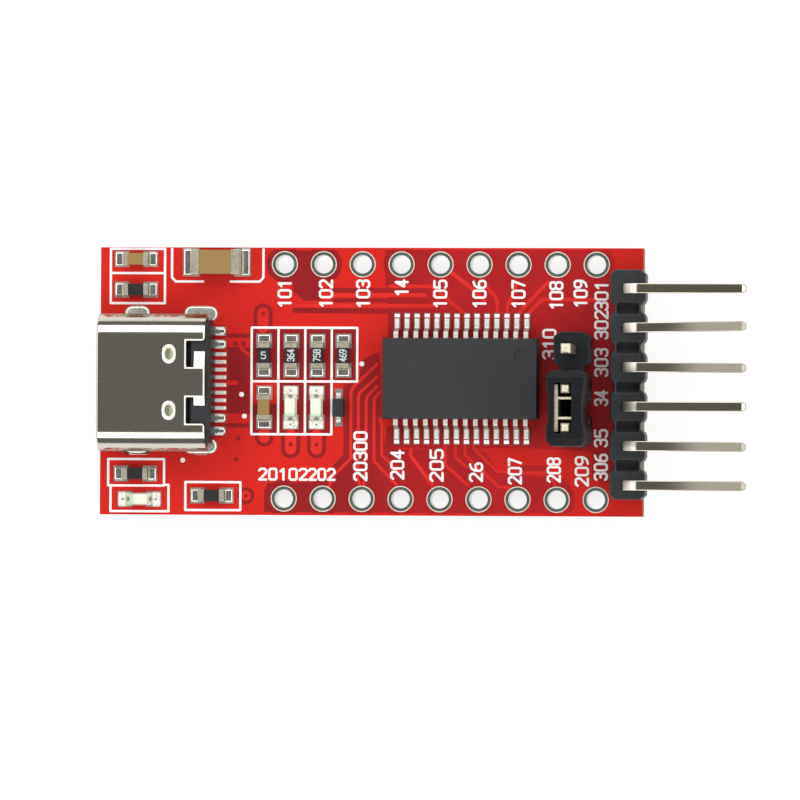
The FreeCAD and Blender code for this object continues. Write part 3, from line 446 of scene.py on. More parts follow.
def lens_finish():
    """Clear resin over a pale chip: milky, with a green mark under one end."""
    finish = Finish("led_resin", srgb(228, 230, 208), 0.16, coat_weight=0.6)
    along = finish.place("x")
    upright = (1.0 - finish.place("y").between(*UPRIGHT_MARK)) * (along > UPRIGHT_LAMPS)
    lying = 1.0 - along.between(*LYING_MARK)
    cloud = finish.noise(0.35, 2.0)
    milky = finish.mix(cloud, srgb(248, 252, 230), srgb(232, 238, 214))
    finish.set("Base Color", finish.mix(0.55 * (upright + lying), milky, srgb(110, 196, 130)))
    finish.bump(finish.noise(0.2, 2.0), 0.004, 0.5)
    return finish


FINISHES = {
    "board": board_finish(),
    "tinned_copper": bright_tin("tinned_copper", srgb(226, 226, 214), 0.22, 0.3, 0.008),
    "solder": bright_tin("solder", srgb(232, 232, 228), 0.1, 0.3, 0.015),
    "resistor_ceramic": ceramic("resistor_glaze", srgb(34, 34, 36), srgb(52, 52, 54), 0.4),
    "capacitor_ceramic": ceramic("capacitor_ceramic", srgb(150, 118, 66), srgb(172, 140, 84), 0.5),
    "end_caps": bright_tin("end_caps", srgb(216, 208, 190), 0.34),
    "led_carrier": ceramic("led_carrier", srgb(226, 224, 206), srgb(206, 202, 184), 0.5),
    "led_lens": lens_finish(),
    "chip_plastic": chip_finish(),
    "lead_tin": lead_finish(),
    "shell_steel": shell_finish(),
    "contact_gold": contact_finish(),
    "header_plastic": moulded("header_nylon", srgb(34, 37, 41), srgb(46, 48, 52), 0.42),
    "jumper_plastic": moulded("jumper_nylon", srgb(14, 15, 21), srgb(26, 29, 38), 0.34, gloss=0.3),
    "pin_metal": pin_finish(),
}
MASK_BARE = bare_mask()
MASK_TRACE = solder_mask("mask_over_trace", srgb(220, 48, 42), srgb(206, 40, 36))
SILK = silk_print()
LEG_JOINT = bright_tin("leg_joint", srgb(236, 238, 226), 0.26, 0.25, 0.004)
SMOOTH_JOINT = bright_tin("smooth_joint", srgb(226, 230, 222), 0.12, 0.3, 0.006)
WHITE_JOINT = bright_tin("white_joint", srgb(254, 252, 244), 0.5, 0.2, 0.006)
BODY_PRINT = Finish("body_print", srgb(196, 202, 200), 0.6)
DARK_SPOT = Finish("dark_spot", srgb(44, 44, 46), 0.5)
PALE_METAL = bright_tin("pale_metal", srgb(248, 240, 214), 0.5, 0.2, 0.003)
DIODE_EPOXY = moulded("diode_epoxy", srgb(24, 36, 33), srgb(34, 46, 42), 0.5, 0.06, 0.008)
TIP_METAL = tip_finish()
RING_TIN = ring_finish()
UPRIGHT_NYLON = moulded("upright_nylon", srgb(20, 23, 28), srgb(32, 36, 42), 0.38, gloss=0.35)
# Solids whose finish isn't the one of their material slot
NODE_FINISHES = {
    "diode_body": DIODE_EPOXY, "jumper_contact": PALE_METAL, "upper_hole_plating": RING_TIN,
    "lower_hole_plating": RING_TIN, "upright_header_housing": UPRIGHT_NYLON,
    "upright_header_pin_1": TIP_METAL, "upright_header_pin_2": TIP_METAL, "upright_header_pin_3": TIP_METAL,
}


def dress_nodes():
    """Gives each solid the finish of its material slot, or its own."""
    for part in frame["record"]["subparts"]:
        node = frame["nodes"][part["node"]]
        finish = NODE_FINISHES.get(part["node"], FINISHES[part["material_slot"]]).material
        if not node.material_slots:
            node.data.materials.append(finish)
        for holder in node.material_slots:
            holder.material = finish


# Rounded edges on the sharp solids: widths in millimetres, the least angles that count as an edge or a bend

SOFT_EDGES = {
    "socket_shell": 0.06, "socket_mid_plate": 0.03, "chip_body": 0.1, "diode_body": 0.05,
    "upright_header_housing": 0.08, "side_header_housing": 0.08, "jumper_housing": 0.08,
    "chip_leads": 0.03, "diode_leads": 0.03,
}
PIN_EDGE = 0.05
CAP_EDGE = 0.05
MERGE = 0.001
SHARP = math.radians(28)
SQUARE = math.radians(75)
FLAT = math.radians(1)


def soften(node, width, sharp=SHARP, join_flats=False):
    """Joins the node's facets and rounds its sharp edges."""
    weld = node.modifiers.new("weld", "WELD")
    weld.merge_threshold = MERGE * MM
    if join_flats:
        flats = node.modifiers.new("flats", "DECIMATE")
        flats.decimate_type = "DISSOLVE"
        flats.angle_limit = FLAT
    bevel = node.modifiers.new("bevel", "BEVEL")
    bevel.width = width * MM
    bevel.segments = 2
    bevel.limit_method = "ANGLE"
    bevel.angle_limit = sharp
    bevel.use_clamp_overlap = True
    bevel.harden_normals = False


def soften_nodes():
    """Rounds the edges of pins, end caps, ceramic bodies and the pieces listed above."""
    for name, node in frame["nodes"].items():
        if "header_pin" in name:
            soften(node, PIN_EDGE, join_flats=True)
        elif name.endswith("_ends") or name.endswith("_body") and name not in SOFT_EDGES:
            soften(node, CAP_EDGE)
        elif name in SOFT_EDGES:
            soften(node, SOFT_EDGES[name], SQUARE if name == "socket_shell" else SHARP)


# Meshes

def piece(name, mesh, finish, body="module"):
    """A finished object from a bmesh in millimetres, riding on its body."""
    bmesh.ops.recalc_face_normals(mesh, faces=mesh.faces)
    bmesh.ops.scale(mesh, vec=(MM, MM, MM), verts=mesh.verts)
    data = bpy.data.meshes.new(name)
    mesh.to_mesh(data)
    mesh.free()
    made = bpy.data.objects.new(name, data)
    bpy.context.collection.objects.link(made)
    data.materials.append(finish.material)
    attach(made, body)
    return made


def add_slab(mesh, outline, low, high, holes=()):
    """A closed plate from an outline of points, between two heights, with holes cut through it."""
    loops = [list(outline)] + [list(hole) for hole in holes]
    bottom = [[mesh.verts.new((x, y, low)) for x, y in loop] for loop in loops]
    top = [[mesh.verts.new((x, y, high)) for x, y in loop] for loop in loops]
    if holes:
        flat_bottom = sum(bottom, [])
        flat_top = sum(top, [])
        for corners in tessellate_polygon([[Vector((x, y, 0)) for x, y in loop] for loop in loops]):
            mesh.faces.new([flat_bottom[k] for k in corners])
            mesh.faces.new([flat_top[k] for k in corners])
    else:
        mesh.faces.new(bottom[0][::-1])
        mesh.faces.new(top[0])
    for low_loop, high_loop in zip(bottom, top):
        for k in range(len(low_loop)):
            after = (k + 1) % len(low_loop)
            mesh.faces.new((low_loop[k], low_loop[after], high_loop[after], high_loop[k]))


def circle(x, y, radius, count=24):
    turns = [2 * math.pi * k / count for k in range(count)]
    return [(x + radius * math.cos(turn), y + radius * math.sin(turn)) for turn in turns]


def rectangle(x0, y0, x1, y1):
    return [(x0, y0), (x1, y0), (x1, y1), (x0, y1)]


def capsule(start, end, width, cap=4):
    """The outline of one straight stroke with round ends."""
    heading = math.atan2(end[1] - start[1], end[0] - start[0])
    outline = []
    for (x, y), turn in ((end, heading - math.pi / 2), (start, heading + math.pi / 2)):
        for k in range(cap + 1):
            angle = turn + math.pi * k / cap
            outline.append((x + width / 2 * math.cos(angle), y + width / 2 * math.sin(angle)))
    return outline


LEVEL_STEP = 0.00025
LEVELS = itertools.cycle(range(47))


def raised(height):
    """The height, a little different each time, so that tops that overlap aren't in one plane."""
    return height + LEVEL_STEP * next(LEVELS)


def add_stroke(mesh, path, width, low, high):
    """A drawn line of short straight strokes with round ends."""
    for start, end in zip(path, path[1:]):
        add_slab(mesh, capsule(start, end, width), low, raised(high))


# Copper under the lacquer: heights, then outlines with no copper, thin gaps, traces and loops

CLEARANCE_TOP = TOP + 0.002
TRACE_TOP = TOP + 0.014
SILK_TOP = TOP + 0.034
SUNK = TOP - 0.01
CLEARANCE_RADIUS = 1.2

BARE_AREAS = [
    [(-3.6, 8.55), (11.0, 8.55), (11.0, 7.3), (11.35, 7.3), (11.35, -6.6), (9.9, -6.3), (9.9, -4.5),
     (6.1, -4.3), (6.1, 2.9), (-3.4, 2.9), (-3.4, 6.0), (-3.6, 6.3)],
    [(-9.3, 8.5), (-8.48, 8.5), (-8.48, 6.75), (-7.8, 6.6), (-7.8, 5.25), (-8.9, 5.25), (-9.63, 5.9),
     (-9.63, 6.75), (-9.3, 6.9)],
    [(-4.0, 1.9), (-5.1, 1.45), (-5.3, 0.0), (-6.28, -0.2), (-6.28, -4.75), (-7.05, -5.55),
     (-7.1, -6.5), (-11.2, -6.6), (-11.45, -7.1), (-11.45, -8.5), (8.5, -8.5), (8.6, -6.9), (8.1, -6.3),
     (4.9, -5.95), (3.9, -5.9), (3.0, -4.6), (2.2, -4.3), (-0.7, -4.3), (-2.1, -4.4),
     (-3.5, -4.3), (-3.8, -2.6), (-3.9, 1.2)],
    [(-3.5, -4.3), (6.15, -4.3), (6.15, -2.9), (-3.5, -2.9)],
    [(-13.92, 2.2), (-12.42, 2.2), (-12.42, -2.1), (-13.92, -2.1)],
    [(-10.55, 0.05), (-5.45, 0.05), (-5.45, 3.45), (-12.25, 3.45), (-12.25, 0.05)],
    [(-12.25, -1.5), (-7.1, -1.5), (-7.1, -3.4), (-12.25, -3.4)],
    [(-10.5, -0.05), (-7.1, -0.05), (-7.1, -1.48), (-10.5, -1.48)],
]
LABEL_GAPS = [
    ([(-6.95, 5.94), (0.0, 5.94)], 0.3),
    ([(-6.95, 5.27), (0.0, 5.27)], 0.26),
    ([(-9.5, 4.62), (-3.46, 4.58)], 0.34),
    ([(-13.9, 2.97), (-12.4, 2.97)], 0.26),
    ([(-13.9, -2.88), (-12.4, -2.88)], 0.26),
    ([(5.5, -5.6), (7.0, -5.6)], 0.36),
]
TRACES = [
    ([(-4.1, 1.14), (-5.65, -0.35), (-5.8, -0.7), (-5.8, -5.0), (-6.9, -6.1), (-7.2, -6.8)], 0.2),
    ([(-4.1, 0.33), (-5.25, -0.75), (-5.32, -1.0), (-5.32, -6.2), (-5.2, -6.8)], 0.2),
    ([(-4.1, -0.3), (-4.73, -0.95), (-4.81, -1.2), (-4.81, -5.2), (-4.95, -6.8)], 0.2),
    ([(-3.95, -0.7), (-4.29, -1.1), (-4.29, -5.15), (-2.8, -6.7)], 0.2),
    ([(-3.9, -2.4), (-3.78, -2.8), (-3.78, -4.75), (-2.35, -6.2)], 0.2),
    ([(-1.9, -4.4), (-1.9, -4.8), (-0.45, -6.7)], 0.24),
    ([(0.37, -3.9), (0.37, -5.4), (1.84, -6.7)], 0.22),
    ([(1.02, -3.9), (1.02, -4.9), (1.75, -5.5)], 0.2),
    ([(1.65, -3.9), (1.65, -4.75), (3.86, -6.8), (4.6, -6.85)], 0.2),
    ([(2.2, -3.9), (2.2, -4.3), (3.77, -5.82), (7.2, -5.9), (7.5, -6.6)], 0.2),
    ([(-9.6, 4.93), (-0.3, 4.93)], 0.26),
    ([(-7.0, 5.62), (-1.0, 5.62)], 0.28),
    ([(-3.3, 6.2), (-0.6, 6.2), (1.9, 4.2)], 0.24),
    ([(0.7, 7.1), (2.0, 6.1), (2.9, 5.2)], 0.26),
    ([(3.0, 6.2), (3.55, 5.6), (3.72, 5.2), (3.72, 4.3)], 0.24),
    ([(4.35, 4.3), (4.35, 4.9), (5.0, 6.4)], 0.24),
    ([(5.0, 4.3), (5.3, 4.7), (7.0, 6.5)], 0.24),
    ([(5.6, 4.3), (6.6, 5.35), (10.2, 5.35)], 0.26),
    ([(-13.0, 2.15), (-12.8, 1.95), (-12.5, 1.72)], 0.2),
    ([(-13.8, -0.1), (-13.3, -0.1)], 0.3),
]
KEYHOLES = [
    ((-11.57, 4.45), (-11.57, 3.5), 0.62),
    ((-11.46, -3.3), (-11.46, -3.65), 0.6),
    ((-9.73, -3.5), (-9.73, -4.38), 0.62),
    ((-8.04, -3.5), (-8.04, -4.38), 0.62),
    ((-12.64, -7.44), (-12.64, -7.45), 0.55),
]
VIAS = [(-13.29, -5.08), (-13.14, -3.73), (-13.36, 2.45), (-12.84, 2.45), (-13.04, 0.33),
        (-11.57, 4.4), (-9.73, -4.1), (-8.04, -4.1), (-12.64, -7.44), (-13.56, 0.31), (-13.1, 0.35)]
SIGNAL_HOLES_UPPER = (0, 1, 3, 4, 5, 6, 7, 8)
SIGNAL_HOLES_LOWER = (0, 1, 2, 3, 4, 5, 6, 7)


HOLE_CUT = 0.66
KEYHOLE_COPPER = 0.6
BOARD_MARGIN = 0.12
VIA_RADIUS = 0.13
VIA_TOP = TRACE_TOP + 0.012


def inside(outline, x, y):
    """Whether a point is inside an outline, by the number of edges that it sees to its right."""
    crossings = 0
    for (x0, y0), (x1, y1) in zip(outline, outline[1:] + outline[:1]):
        if (y0 > y) != (y1 > y) and x < x0 + (y - y0) * (x1 - x0) / (y1 - y0):
            crossings += 1
    return crossings % 2 == 1


def make_bare_areas():
    """Darker lacquer where no copper lies below it, also round the signal holes."""
    mesh = bmesh.new()
    edge = BOARD_HIGH.y - BOARD_MARGIN
    centres = [(x, y) for y in (ROW_Y, -ROW_Y) for x in ROW_X]
    for area in BARE_AREAS:
        holes = [circle(x, y, HOLE_CUT, 32) for x, y in centres if inside(area, x, y)]
        add_slab(mesh, area, SUNK, raised(CLEARANCE_TOP), holes)
    for side, numbers in ((1, SIGNAL_HOLES_UPPER), (-1, SIGNAL_HOLES_LOWER)):
        for k in numbers:
            ring = circle(ROW_X[k], side * ROW_Y, CLEARANCE_RADIUS, 40)
            ring = [(x, max(-edge, min(edge, y))) for x, y in ring]
            hole = circle(ROW_X[k], side * ROW_Y, HOLE_CUT, 32)
            add_slab(mesh, ring, SUNK, raised(CLEARANCE_TOP), [hole])
    for path, width in LABEL_GAPS:
        add_stroke(mesh, path, width, SUNK, CLEARANCE_TOP)
    for start, end, radius in KEYHOLES:
        add_slab(mesh, capsule(start, end, 2 * radius, 12), SUNK, raised(CLEARANCE_TOP))
    piece("bare_areas", mesh, MASK_BARE)


def make_traces():
    mesh = bmesh.new()
    for path, width in TRACES:
        add_stroke(mesh, path, width, SUNK, TRACE_TOP)
    for start, end, radius in KEYHOLES:
        add_slab(mesh, capsule(start, end, KEYHOLE_COPPER * 2 * radius, 8), SUNK, raised(TRACE_TOP))
    piece("traces", mesh, MASK_TRACE)


def make_vias():
    mesh = bmesh.new()
    for x, y in VIAS:
        add_slab(mesh, circle(x, y, VIA_RADIUS, 16), SUNK, raised(VIA_TOP))
    piece("vias", mesh, MASK_BARE)


# Solder joints

ROUND_STEPS = 5
CORNER_STEPS = 5
SMOOTH_ANGLE = math.radians(50)


def rounded(x, y, length, width, corner):
    """The outline of a rectangle with round corners, centred on a point."""
    corner = min(corner, length / 2 - 0.001, width / 2 - 0.001)
    outline = []
    for quarter, (side_x, side_y) in enumerate(((1, 1), (-1, 1), (-1, -1), (1, -1))):
        for k in range(CORNER_STEPS + 1):
            turn = math.pi / 2 * (quarter + k / CORNER_STEPS)
            outline.append((x + side_x * (length / 2 - corner) + corner * math.cos(turn),
                            y + side_y * (width / 2 - corner) + corner * math.sin(turn)))
    return outline


def add_pillow(mesh, x, y, length, width, low, height, edge, corner):
    """Set solder: a rounded patch whose rim curves over to a flat top."""
    rings = []
    for k in range(ROUND_STEPS + 1):
        turn = math.pi / 2 * k / ROUND_STEPS
        inset = edge * (1 - math.cos(turn))
        outline = rounded(x, y, length - 2 * inset, width - 2 * inset, max(corner - inset, 0.01))
        rings.append([mesh.verts.new((px, py, low + height * math.sin(turn))) for px, py in outline])
    mesh.faces.new(rings[0][::-1])
    mesh.faces.new(rings[-1])
    for lower, upper in zip(rings, rings[1:]):
        for k in range(len(lower)):
            after = (k + 1) % len(lower)
            mesh.faces.new((lower[k], lower[after], upper[after], upper[k]))


def smooth(made):
    for face in made.data.polygons:
        face.use_smooth = True
    made.data.set_sharp_from_angle(angle=SMOOTH_ANGLE)


PAD_TOP = TOP + 0.05
JOINT_LOW = PAD_TOP - 0.02

# Each leg joint: its centre along the board, its length
LEG_JOINTS = [(-19.79, 1.72), (-15.62, 2.26)]
LEG_JOINT_Y = 0.075
LEG_JOINT_REACH = 4.3
LEG_JOINT_WIDTH = 1.1
LEG_JOINT_CORNER = 0.55

# The contacts' feet: their start and end along the board, the inner ones' places and width across it,
# and each outer one's place, width and corner
FOOT_JOINT_X = (-14.74, -13.93)
FOOT_PITCH = 0.5
INNER_FEET = [(k - 3.5) * FOOT_PITCH for k in range(8)]
INNER_FOOT_WIDTH = 0.27
OUTER_FEET = [(-3.25, 0.5, 0.25), (-2.4, 0.5, 0.05), (2.4, 0.5, 0.05), (3.25, 0.5, 0.25)]

# The chip parts' joints: their reach past the end, past the sides and under the cap, and the lamps' dots
PART_JOINT_REACH = 0.6
PART_JOINT_SIDE = 0.1
PART_JOINT_UNDER = 0.04
LAMP_DOT_RADIUS = 0.055
LAMP_DOT_TOP = PAD_TOP + 0.19


def make_leg_joints():
    """Solder round each leg of the shell, on both faces of the board."""
    mesh = bmesh.new()
    for x, length in LEG_JOINTS:
        for side in (-1, 1):
            y = LEG_JOINT_Y + side * LEG_JOINT_REACH
            add_pillow(mesh, x, y, length, LEG_JOINT_WIDTH, SUNK, 0.2, 0.2, LEG_JOINT_CORNER)
            add_pillow(mesh, x, y, length, LEG_JOINT_WIDTH, 0.01, -0.3, 0.25, LEG_JOINT_CORNER)
    made = piece("leg_joints", mesh, LEG_JOINT)
    smooth(made)
    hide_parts("socket_leg_solder")


def make_foot_joints():
    """Solder over the contacts' feet, with the outer ones rounder."""
    white = bmesh.new()
    round_ones = bmesh.new()
    x = sum(FOOT_JOINT_X) / 2
    length = FOOT_JOINT_X[1] - FOOT_JOINT_X[0]
    for y in INNER_FEET:
        add_pillow(white, x, y, length, INNER_FOOT_WIDTH, JOINT_LOW, 0.16, 0.05, 0.05)
    for y, width, corner in OUTER_FEET:
        add_pillow(round_ones, x, y, length, width, JOINT_LOW, 0.2, 0.16, corner)
    smooth(piece("foot_joints", white, WHITE_JOINT))
    smooth(piece("outer_foot_joints", round_ones, SMOOTH_JOINT))


def make_part_joints():
    """Solder at both ends of each chip part, with the lamps' whiter than the others'."""
    plain = bmesh.new()
    white = bmesh.new()
    dots = bmesh.new()
    names = [node[:-5] for node in frame["nodes"] if node.endswith(("_ends", "_base"))]
    for name in sorted(names):
        lamp = name.startswith("led")
        node = name + ("_base" if lamp else "_ends")
        low, high = low_corner(node), high_corner(node)
        lying = high.x - low.x > high.y - low.y
        for side in (-1, 1):
            across = (high.y - low.y if lying else high.x - low.x) + 2 * PART_JOINT_SIDE
            centre = (low + high) / 2
            end = (high if side > 0 else low) + side * Vector((1, 1, 0)) * PART_JOINT_REACH / 2
            x, y = (end.x, centre.y) if lying else (centre.x, end.y)
            along = PART_JOINT_REACH + PART_JOINT_UNDER
            size = (along, across) if lying else (across, along)
            add_pillow(white if lamp else plain, x, y, *size, JOINT_LOW, 0.2, 0.17, 0.16)
            if lamp:
                add_slab(dots, circle(x, y, LAMP_DOT_RADIUS, 12), PAD_TOP, raised(LAMP_DOT_TOP))
    made = piece("part_joints", plain, SMOOTH_JOINT)
    smooth(made)
    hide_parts("component_solder")
    smooth(piece("lamp_joints", white, WHITE_JOINT))
    piece("lamp_dots", dots, DARK_SPOT)


# The plain numbers on four resistors: their height, stroke and width of a digit, and how deep they are sunk
RESISTOR_NUMBERS = {4: "5", 5: "364", 6: "758", 7: "469"}
CODE_HEIGHT = 0.42
CODE_STROKE = 0.075
CODE_STEP = 0.24
CODE_SPARE = 0.03
CODE_DEPTH = 0.01


def make_body_print():
    mesh = bmesh.new()
    for k, number in RESISTOR_NUMBERS.items():
        node = "resistor_%d_body" % k
        centre = (low_corner(node) + high_corner(node)) / 2
        top = high_corner(node).z
        length = CODE_STEP * len(number) + CODE_SPARE
        turn = 0 if len(number) == 1 else 90
        add_number(mesh, number, centre.x, centre.y, CODE_HEIGHT, turn, CODE_STROKE,
                   top - CODE_DEPTH, top + CODE_DEPTH, length)
    piece("body_print", mesh, BODY_PRINT)


# The upper tab's low end, which lies within the plastic in the solids
TAB_LENGTH = 0.7
TAB_X = (SHELL_REAR - TAB_LENGTH, SHELL_REAR - 0.01)
TAB_Y = (0.87, 1.87)
TAB_Z = (4.79, 4.51)
TAB_SHEET = 0.06


def make_tab_end():
    """A small plate that slopes down from the roof, with a top and an underside of four corners each."""
    mesh = bmesh.new()
    corners = []
    for x in TAB_X:
        for y, z in zip(TAB_Y, TAB_Z):
            corners.append([mesh.verts.new((x, y, z - drop)) for drop in (0, TAB_SHEET)])
    a, b, c, d = corners
    faces = [(a[0], b[0], d[0], c[0]), (a[1], c[1], d[1], b[1]), (a[0], a[1], b[1], b[0]),
             (c[0], d[0], d[1], c[1]), (a[0], c[0], c[1], a[1]), (b[0], b[1], d[1], d[0])]
    for face in faces:
        mesh.faces.new(face)
    piece("tab_end", mesh, FINISHES["shell_steel"])


# White print

LINE = 0.15
STROKE = 0.15
DOT_RADIUS = 0.16
LABEL_HEIGHT = 0.78
FLAT_LABEL_HEIGHT = 0.7
# Each digit's strokes, in a cell 0.6 wide and 1 high
DIGIT_WIDTH = 0.6
DIGIT_STEP = 0.86
DIGITS = {
    "0": [[(.12, 0), (.48, 0), (.6, .14), (.6, .86), (.48, 1), (.12, 1), (0, .86), (0, .14), (.12, 0)]],
    "1": [[(.1, .78), (.34, 1), (.34, 0)]],
    "2": [[(0, .84), (.14, 1), (.46, 1), (.6, .84), (.6, .64), (0, 0), (.6, 0)]],
    "3": [[(0, .86), (.14, 1), (.46, 1), (.6, .86), (.6, .64), (.46, .52), (.2, .52)],
          [(.46, .52), (.6, .38), (.6, .14), (.46, 0), (.14, 0), (0, .14)]],
    "4": [[(.44, 0), (.44, 1), (0, .3), (.62, .3)]],
    "5": [[(.58, 1), (.04, 1), (0, .56), (.44, .6), (.6, .46), (.6, .14), (.46, 0), (.12, 0), (0, .1)]],
    "6": [[(.52, 1), (.2, .9), (0, .6), (0, .14), (.14, 0), (.46, 0), (.6, .14), (.6, .4), (.46, .54),
           (.14, .54), (0, .42)]],
    "7": [[(0, 1), (.6, 1), (.2, 0)]],
    "8": [[(.14, .54), (0, .68), (0, .88), (.14, 1), (.46, 1), (.6, .88), (.6, .68), (.46, .54), (.14, .54),
           (0, .4), (0, .14), (.14, 0), (.46, 0), (.6, .14), (.6, .4), (.46, .54)]],
    "9": [[(.08, 0), (.4, .1), (.6, .4), (.6, .86), (.46, 1), (.14, 1), (0, .86), (0, .6), (.14, .46),
           (.46, .46), (.6, .58)]],
}


def add_number(mesh, text, x, y, height, turn, width, low, high, length=None):
    """A plain number centred on a point, turned by an angle in degrees, fitted to a length."""
    cells = (len(text) - 1) * DIGIT_STEP + DIGIT_WIDTH
    stretch = 1.0 if length is None else length / (cells * height)
    cos = math.cos(math.radians(turn))
    sin = math.sin(math.radians(turn))
    for k, digit in enumerate(text):
        for line in DIGITS[digit]:
            path = []
            for u, v in line:
                a = (u + k * DIGIT_STEP - cells / 2) * height * stretch
                b = (v - 0.5) * height
                path.append((x + a * cos - b * sin, y + a * sin + b * cos))
            add_stroke(mesh, path, width, low, high)


# Each number: its text, the middle along and across the board, its length
UPPER_LABELS = [
    ("101", -10.16, 5.7, 1.72), ("102", -7.47, 5.7, 1.72), ("103", -5.04, 5.7, 1.72),
    ("14", -2.53, 6.1, 0.95), ("105", -0.01, 5.7, 1.72), ("106", 2.54, 5.7, 1.72),
    ("107", 5.08, 5.7, 1.72), ("108", 7.54, 5.62, 1.72), ("109", 9.12, 5.74, 1.68),
]
LOWER_LABELS = [
    ("20300", -5.17, -4.85, 3.1), ("204", -2.76, -5.4, 1.8), ("205", -0.2, -5.43, 2.0),
    ("26", 2.37, -5.86, 1.14), ("207", 4.9, -5.78, 1.6), ("208", 7.43, -5.7, 1.5),
    ("209", 9.25, -5.78, 1.85),
]
SIDE_LABELS = [
    ("301", 10.48, 5.6, 1.78), ("302", 10.48, 3.72, 1.78), ("303", 10.48, 1.28, 1.74),
    ("34", 10.48, -1.03, 0.9), ("35", 10.48, -3.62, 1.05), ("306", 10.48, -5.5, 1.62),
    ("310", 7.1, 2.46, 1.85),
]
FLAT_LABELS = [("20102", -10.22, -6.04, 3.1), ("202", -7.68, -6.04, 1.66)]
FRAMES = [
    [(-21.55, 8.6), (-21.55, 5.06), (-18.0, 5.06), (-18.0, 8.6), (-21.55, 8.6)],
    [(-21.55, 7.02), (-18.0, 7.02)],
    [(-17.54, 8.6), (-17.54, 6.75), (-17.3, 6.48), (-15.5, 6.48)],
    [(-13.7, 6.48), (-11.8, 6.48), (-11.56, 6.75), (-11.56, 8.6)],
    [(-21.66, -5.09), (-18.0, -5.09), (-18.0, -6.81), (-21.66, -6.81), (-21.66, -5.09)],
    [(-21.5, -6.81), (-21.5, -8.48), (-17.7, -8.48), (-17.7, -6.76), (-18.0, -6.76)],
    [(-16.6, -6.57), (-13.0, -6.57), (-13.0, -8.39), (-16.6, -8.39), (-16.6, -6.57)],
    [(-12.3, 3.49), (-5.41, 3.49), (-5.41, 0.0), (-7.07, 0.0)],
    [(-12.3, 3.49), (-12.3, -3.44), (-7.07, -3.44), (-7.07, 3.49)],
    [(-12.3, 0.0), (-5.41, 0.0)],
    [(-10.55, 3.49), (-10.55, -3.44)],
    [(-8.8, 3.49), (-8.8, -3.44)],
]
DOTS = [(-16.78, -5.15), (-12.95, -0.86), (-12.76, -2.27), (-5.1, 1.15)]


def make_print():
    """White frames, numbers and dots on the board."""
    mesh = bmesh.new()
    for path in FRAMES:
        add_stroke(mesh, path, LINE, SUNK, SILK_TOP)
    for label, x, y, length in UPPER_LABELS + LOWER_LABELS + SIDE_LABELS:
        add_number(mesh, label, x, y, LABEL_HEIGHT, 90, STROKE, SUNK, SILK_TOP, length)
    for label, x, y, length in FLAT_LABELS:
        add_number(mesh, label, x, y, FLAT_LABEL_HEIGHT, 0, STROKE, SUNK, SILK_TOP, length)
    for x, y in DOTS:
        add_slab(mesh, circle(x, y, DOT_RADIUS, 16), SUNK, raised(SILK_TOP))
    piece("white_print", mesh, SILK)


# Camera, light and floor

# Millimetres across the photo, the camera's distance and aim, and its tilts and roll in degrees
PHOTO_WIDTH = 51.95
CAMERA_DISTANCE = 570
AIM = (-2.606, -1.187, TOP)
TILT_X = 5.1
TILT_Y = -0.74
ROLL = 0.2
SENSOR = 36
# A round white table with a low wall, and the room's own faint light
FLOOR_RADIUS = 1600
FLOOR_SIDES = 96
WALL_HEIGHT = 140
TABLE_SHADE = 0.3
TABLE_GLOW = 0.78
SKY = 0.17
# Four softboxes in a ring. Each: heading from +X and angle from overhead in degrees, its span, its length
LAMPS = [(90, 45, 34, 1500), (-90, 42, 28, 1500), (0, 44, 32, 700), (180, 44, 32, 700)]
LAMP_RADIANCE = 1.65
LAMP_DISTANCE = 800


def make_camera():
    """A long lens nearly straight above the board, leaning as the photo does."""
    data = bpy.data.cameras.new("camera")
    data.sensor_width = SENSOR
    data.lens = SENSOR * CAMERA_DISTANCE / PHOTO_WIDTH
    data.clip_start = 0.01
    data.clip_end = 10
    camera = bpy.data.objects.new("camera", data)
    bpy.context.collection.objects.link(camera)
    away = Vector((math.tan(math.radians(TILT_X)), math.tan(math.radians(TILT_Y)), 1)).normalized()
    turn = (-away).to_track_quat("-Z", "Y").to_matrix()
    right = Vector((1, 0, 0))
    right = (right - away * right.dot(away)).normalized()
    up = away.cross(right)
    turn.col[0] = right
    turn.col[1] = up
    turn.col[2] = away
    camera.matrix_world = turn.to_4x4()
    camera.rotation_euler.rotate_axis("Z", math.radians(ROLL))
    camera.location = (Vector(AIM) + away * CAMERA_DISTANCE) * MM
    bpy.context.scene.camera = camera


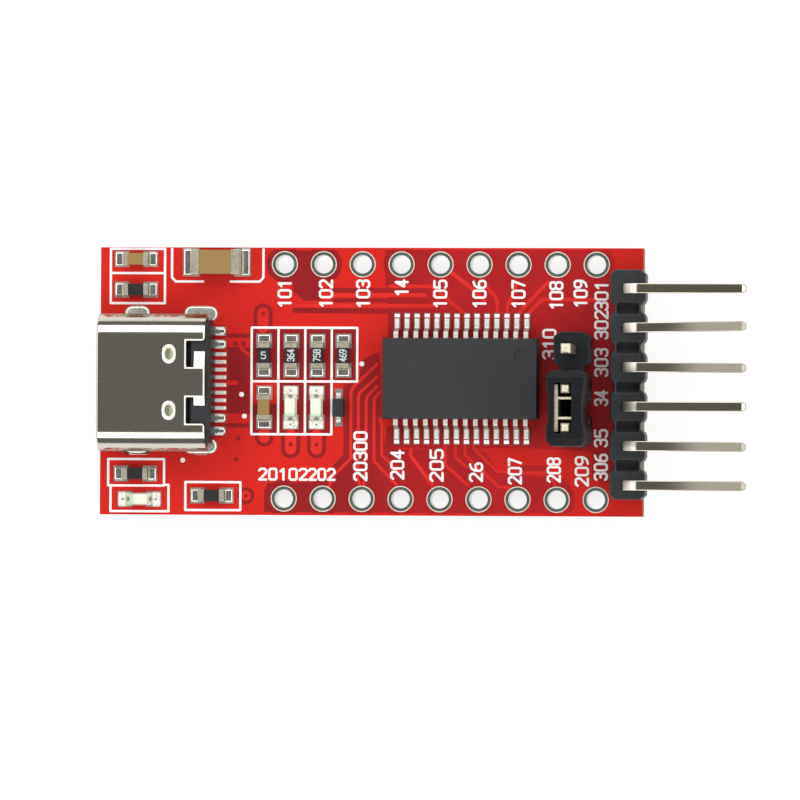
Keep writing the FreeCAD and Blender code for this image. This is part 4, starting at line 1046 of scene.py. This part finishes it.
def floor_finish():
    """White table: lit by the lamps, with a little light of its own for what is seen or mirrored."""
    pale = (TABLE_SHADE, TABLE_SHADE, TABLE_SHADE)
    finish = Finish("white_table", pale, 0.9)
    finish.set("Specular IOR Level", 0.0)
    seen = finish.node("LightPath", output="Is Camera Ray")
    mirrored = finish.node("LightPath", output="Is Glossy Ray")
    through = finish.node("LightPath", output="Is Transmission Ray")
    speck = finish.noise(6.0, 2.0)
    finish.set("Base Color", finish.mix(speck, pale, tuple(0.98 * level for level in pale)))
    finish.set("Emission Color", (1.0, 1.0, 1.0))
    finish.set("Emission Strength", TABLE_GLOW * (seen + mirrored + through))
    return finish


def make_floor():
    low = cad_box[0][2] / MM
    mesh = bmesh.new()
    outline = circle(0, 0, FLOOR_RADIUS, FLOOR_SIDES)
    ring = [mesh.verts.new((x, y, low)) for x, y in outline]
    rim = [mesh.verts.new((x, y, low + WALL_HEIGHT)) for x, y in outline]
    mesh.faces.new(ring)
    for k in range(len(ring)):
        after = (k + 1) % len(ring)
        mesh.faces.new((ring[k], ring[after], rim[after], rim[k]))
    bmesh.ops.scale(mesh, vec=(MM, MM, MM), verts=mesh.verts)
    data = bpy.data.meshes.new("table")
    mesh.to_mesh(data)
    mesh.free()
    table = bpy.data.objects.new("table", data)
    bpy.context.collection.objects.link(table)
    data.materials.append(floor_finish().material)


def make_lights():
    for k, (heading, lean, span, length) in enumerate(LAMPS):
        width = 2 * LAMP_DISTANCE * math.tan(math.radians(span / 2))
        data = bpy.data.lights.new("softbox_%d" % k, "AREA")
        data.shape = "RECTANGLE"
        data.size = length * MM
        data.size_y = width * MM
        data.energy = 4 * LAMP_RADIANCE * data.size * data.size_y
        lamp = bpy.data.objects.new("softbox_%d" % k, data)
        bpy.context.collection.objects.link(lamp)
        turn = Euler((-math.radians(lean), 0, math.radians(heading - 90))).to_matrix()
        lamp.location = turn @ Vector((0, 0, LAMP_DISTANCE * MM))
        lamp.rotation_euler = turn.to_euler()
    world = bpy.data.worlds.new("room")
    world.use_nodes = True
    world.node_tree.nodes["Background"].inputs["Color"].default_value = (SKY, SKY, SKY * 0.97, 1)
    bpy.context.scene.world = world


dress_nodes()
soften_nodes()
make_bare_areas()
make_traces()
make_vias()
make_print()
make_leg_joints()
make_foot_joints()
make_part_joints()
make_body_print()
make_tab_end()
make_camera()
make_floor()
make_lights()

bpy.context.scene.view_settings.view_transform = "Standard"
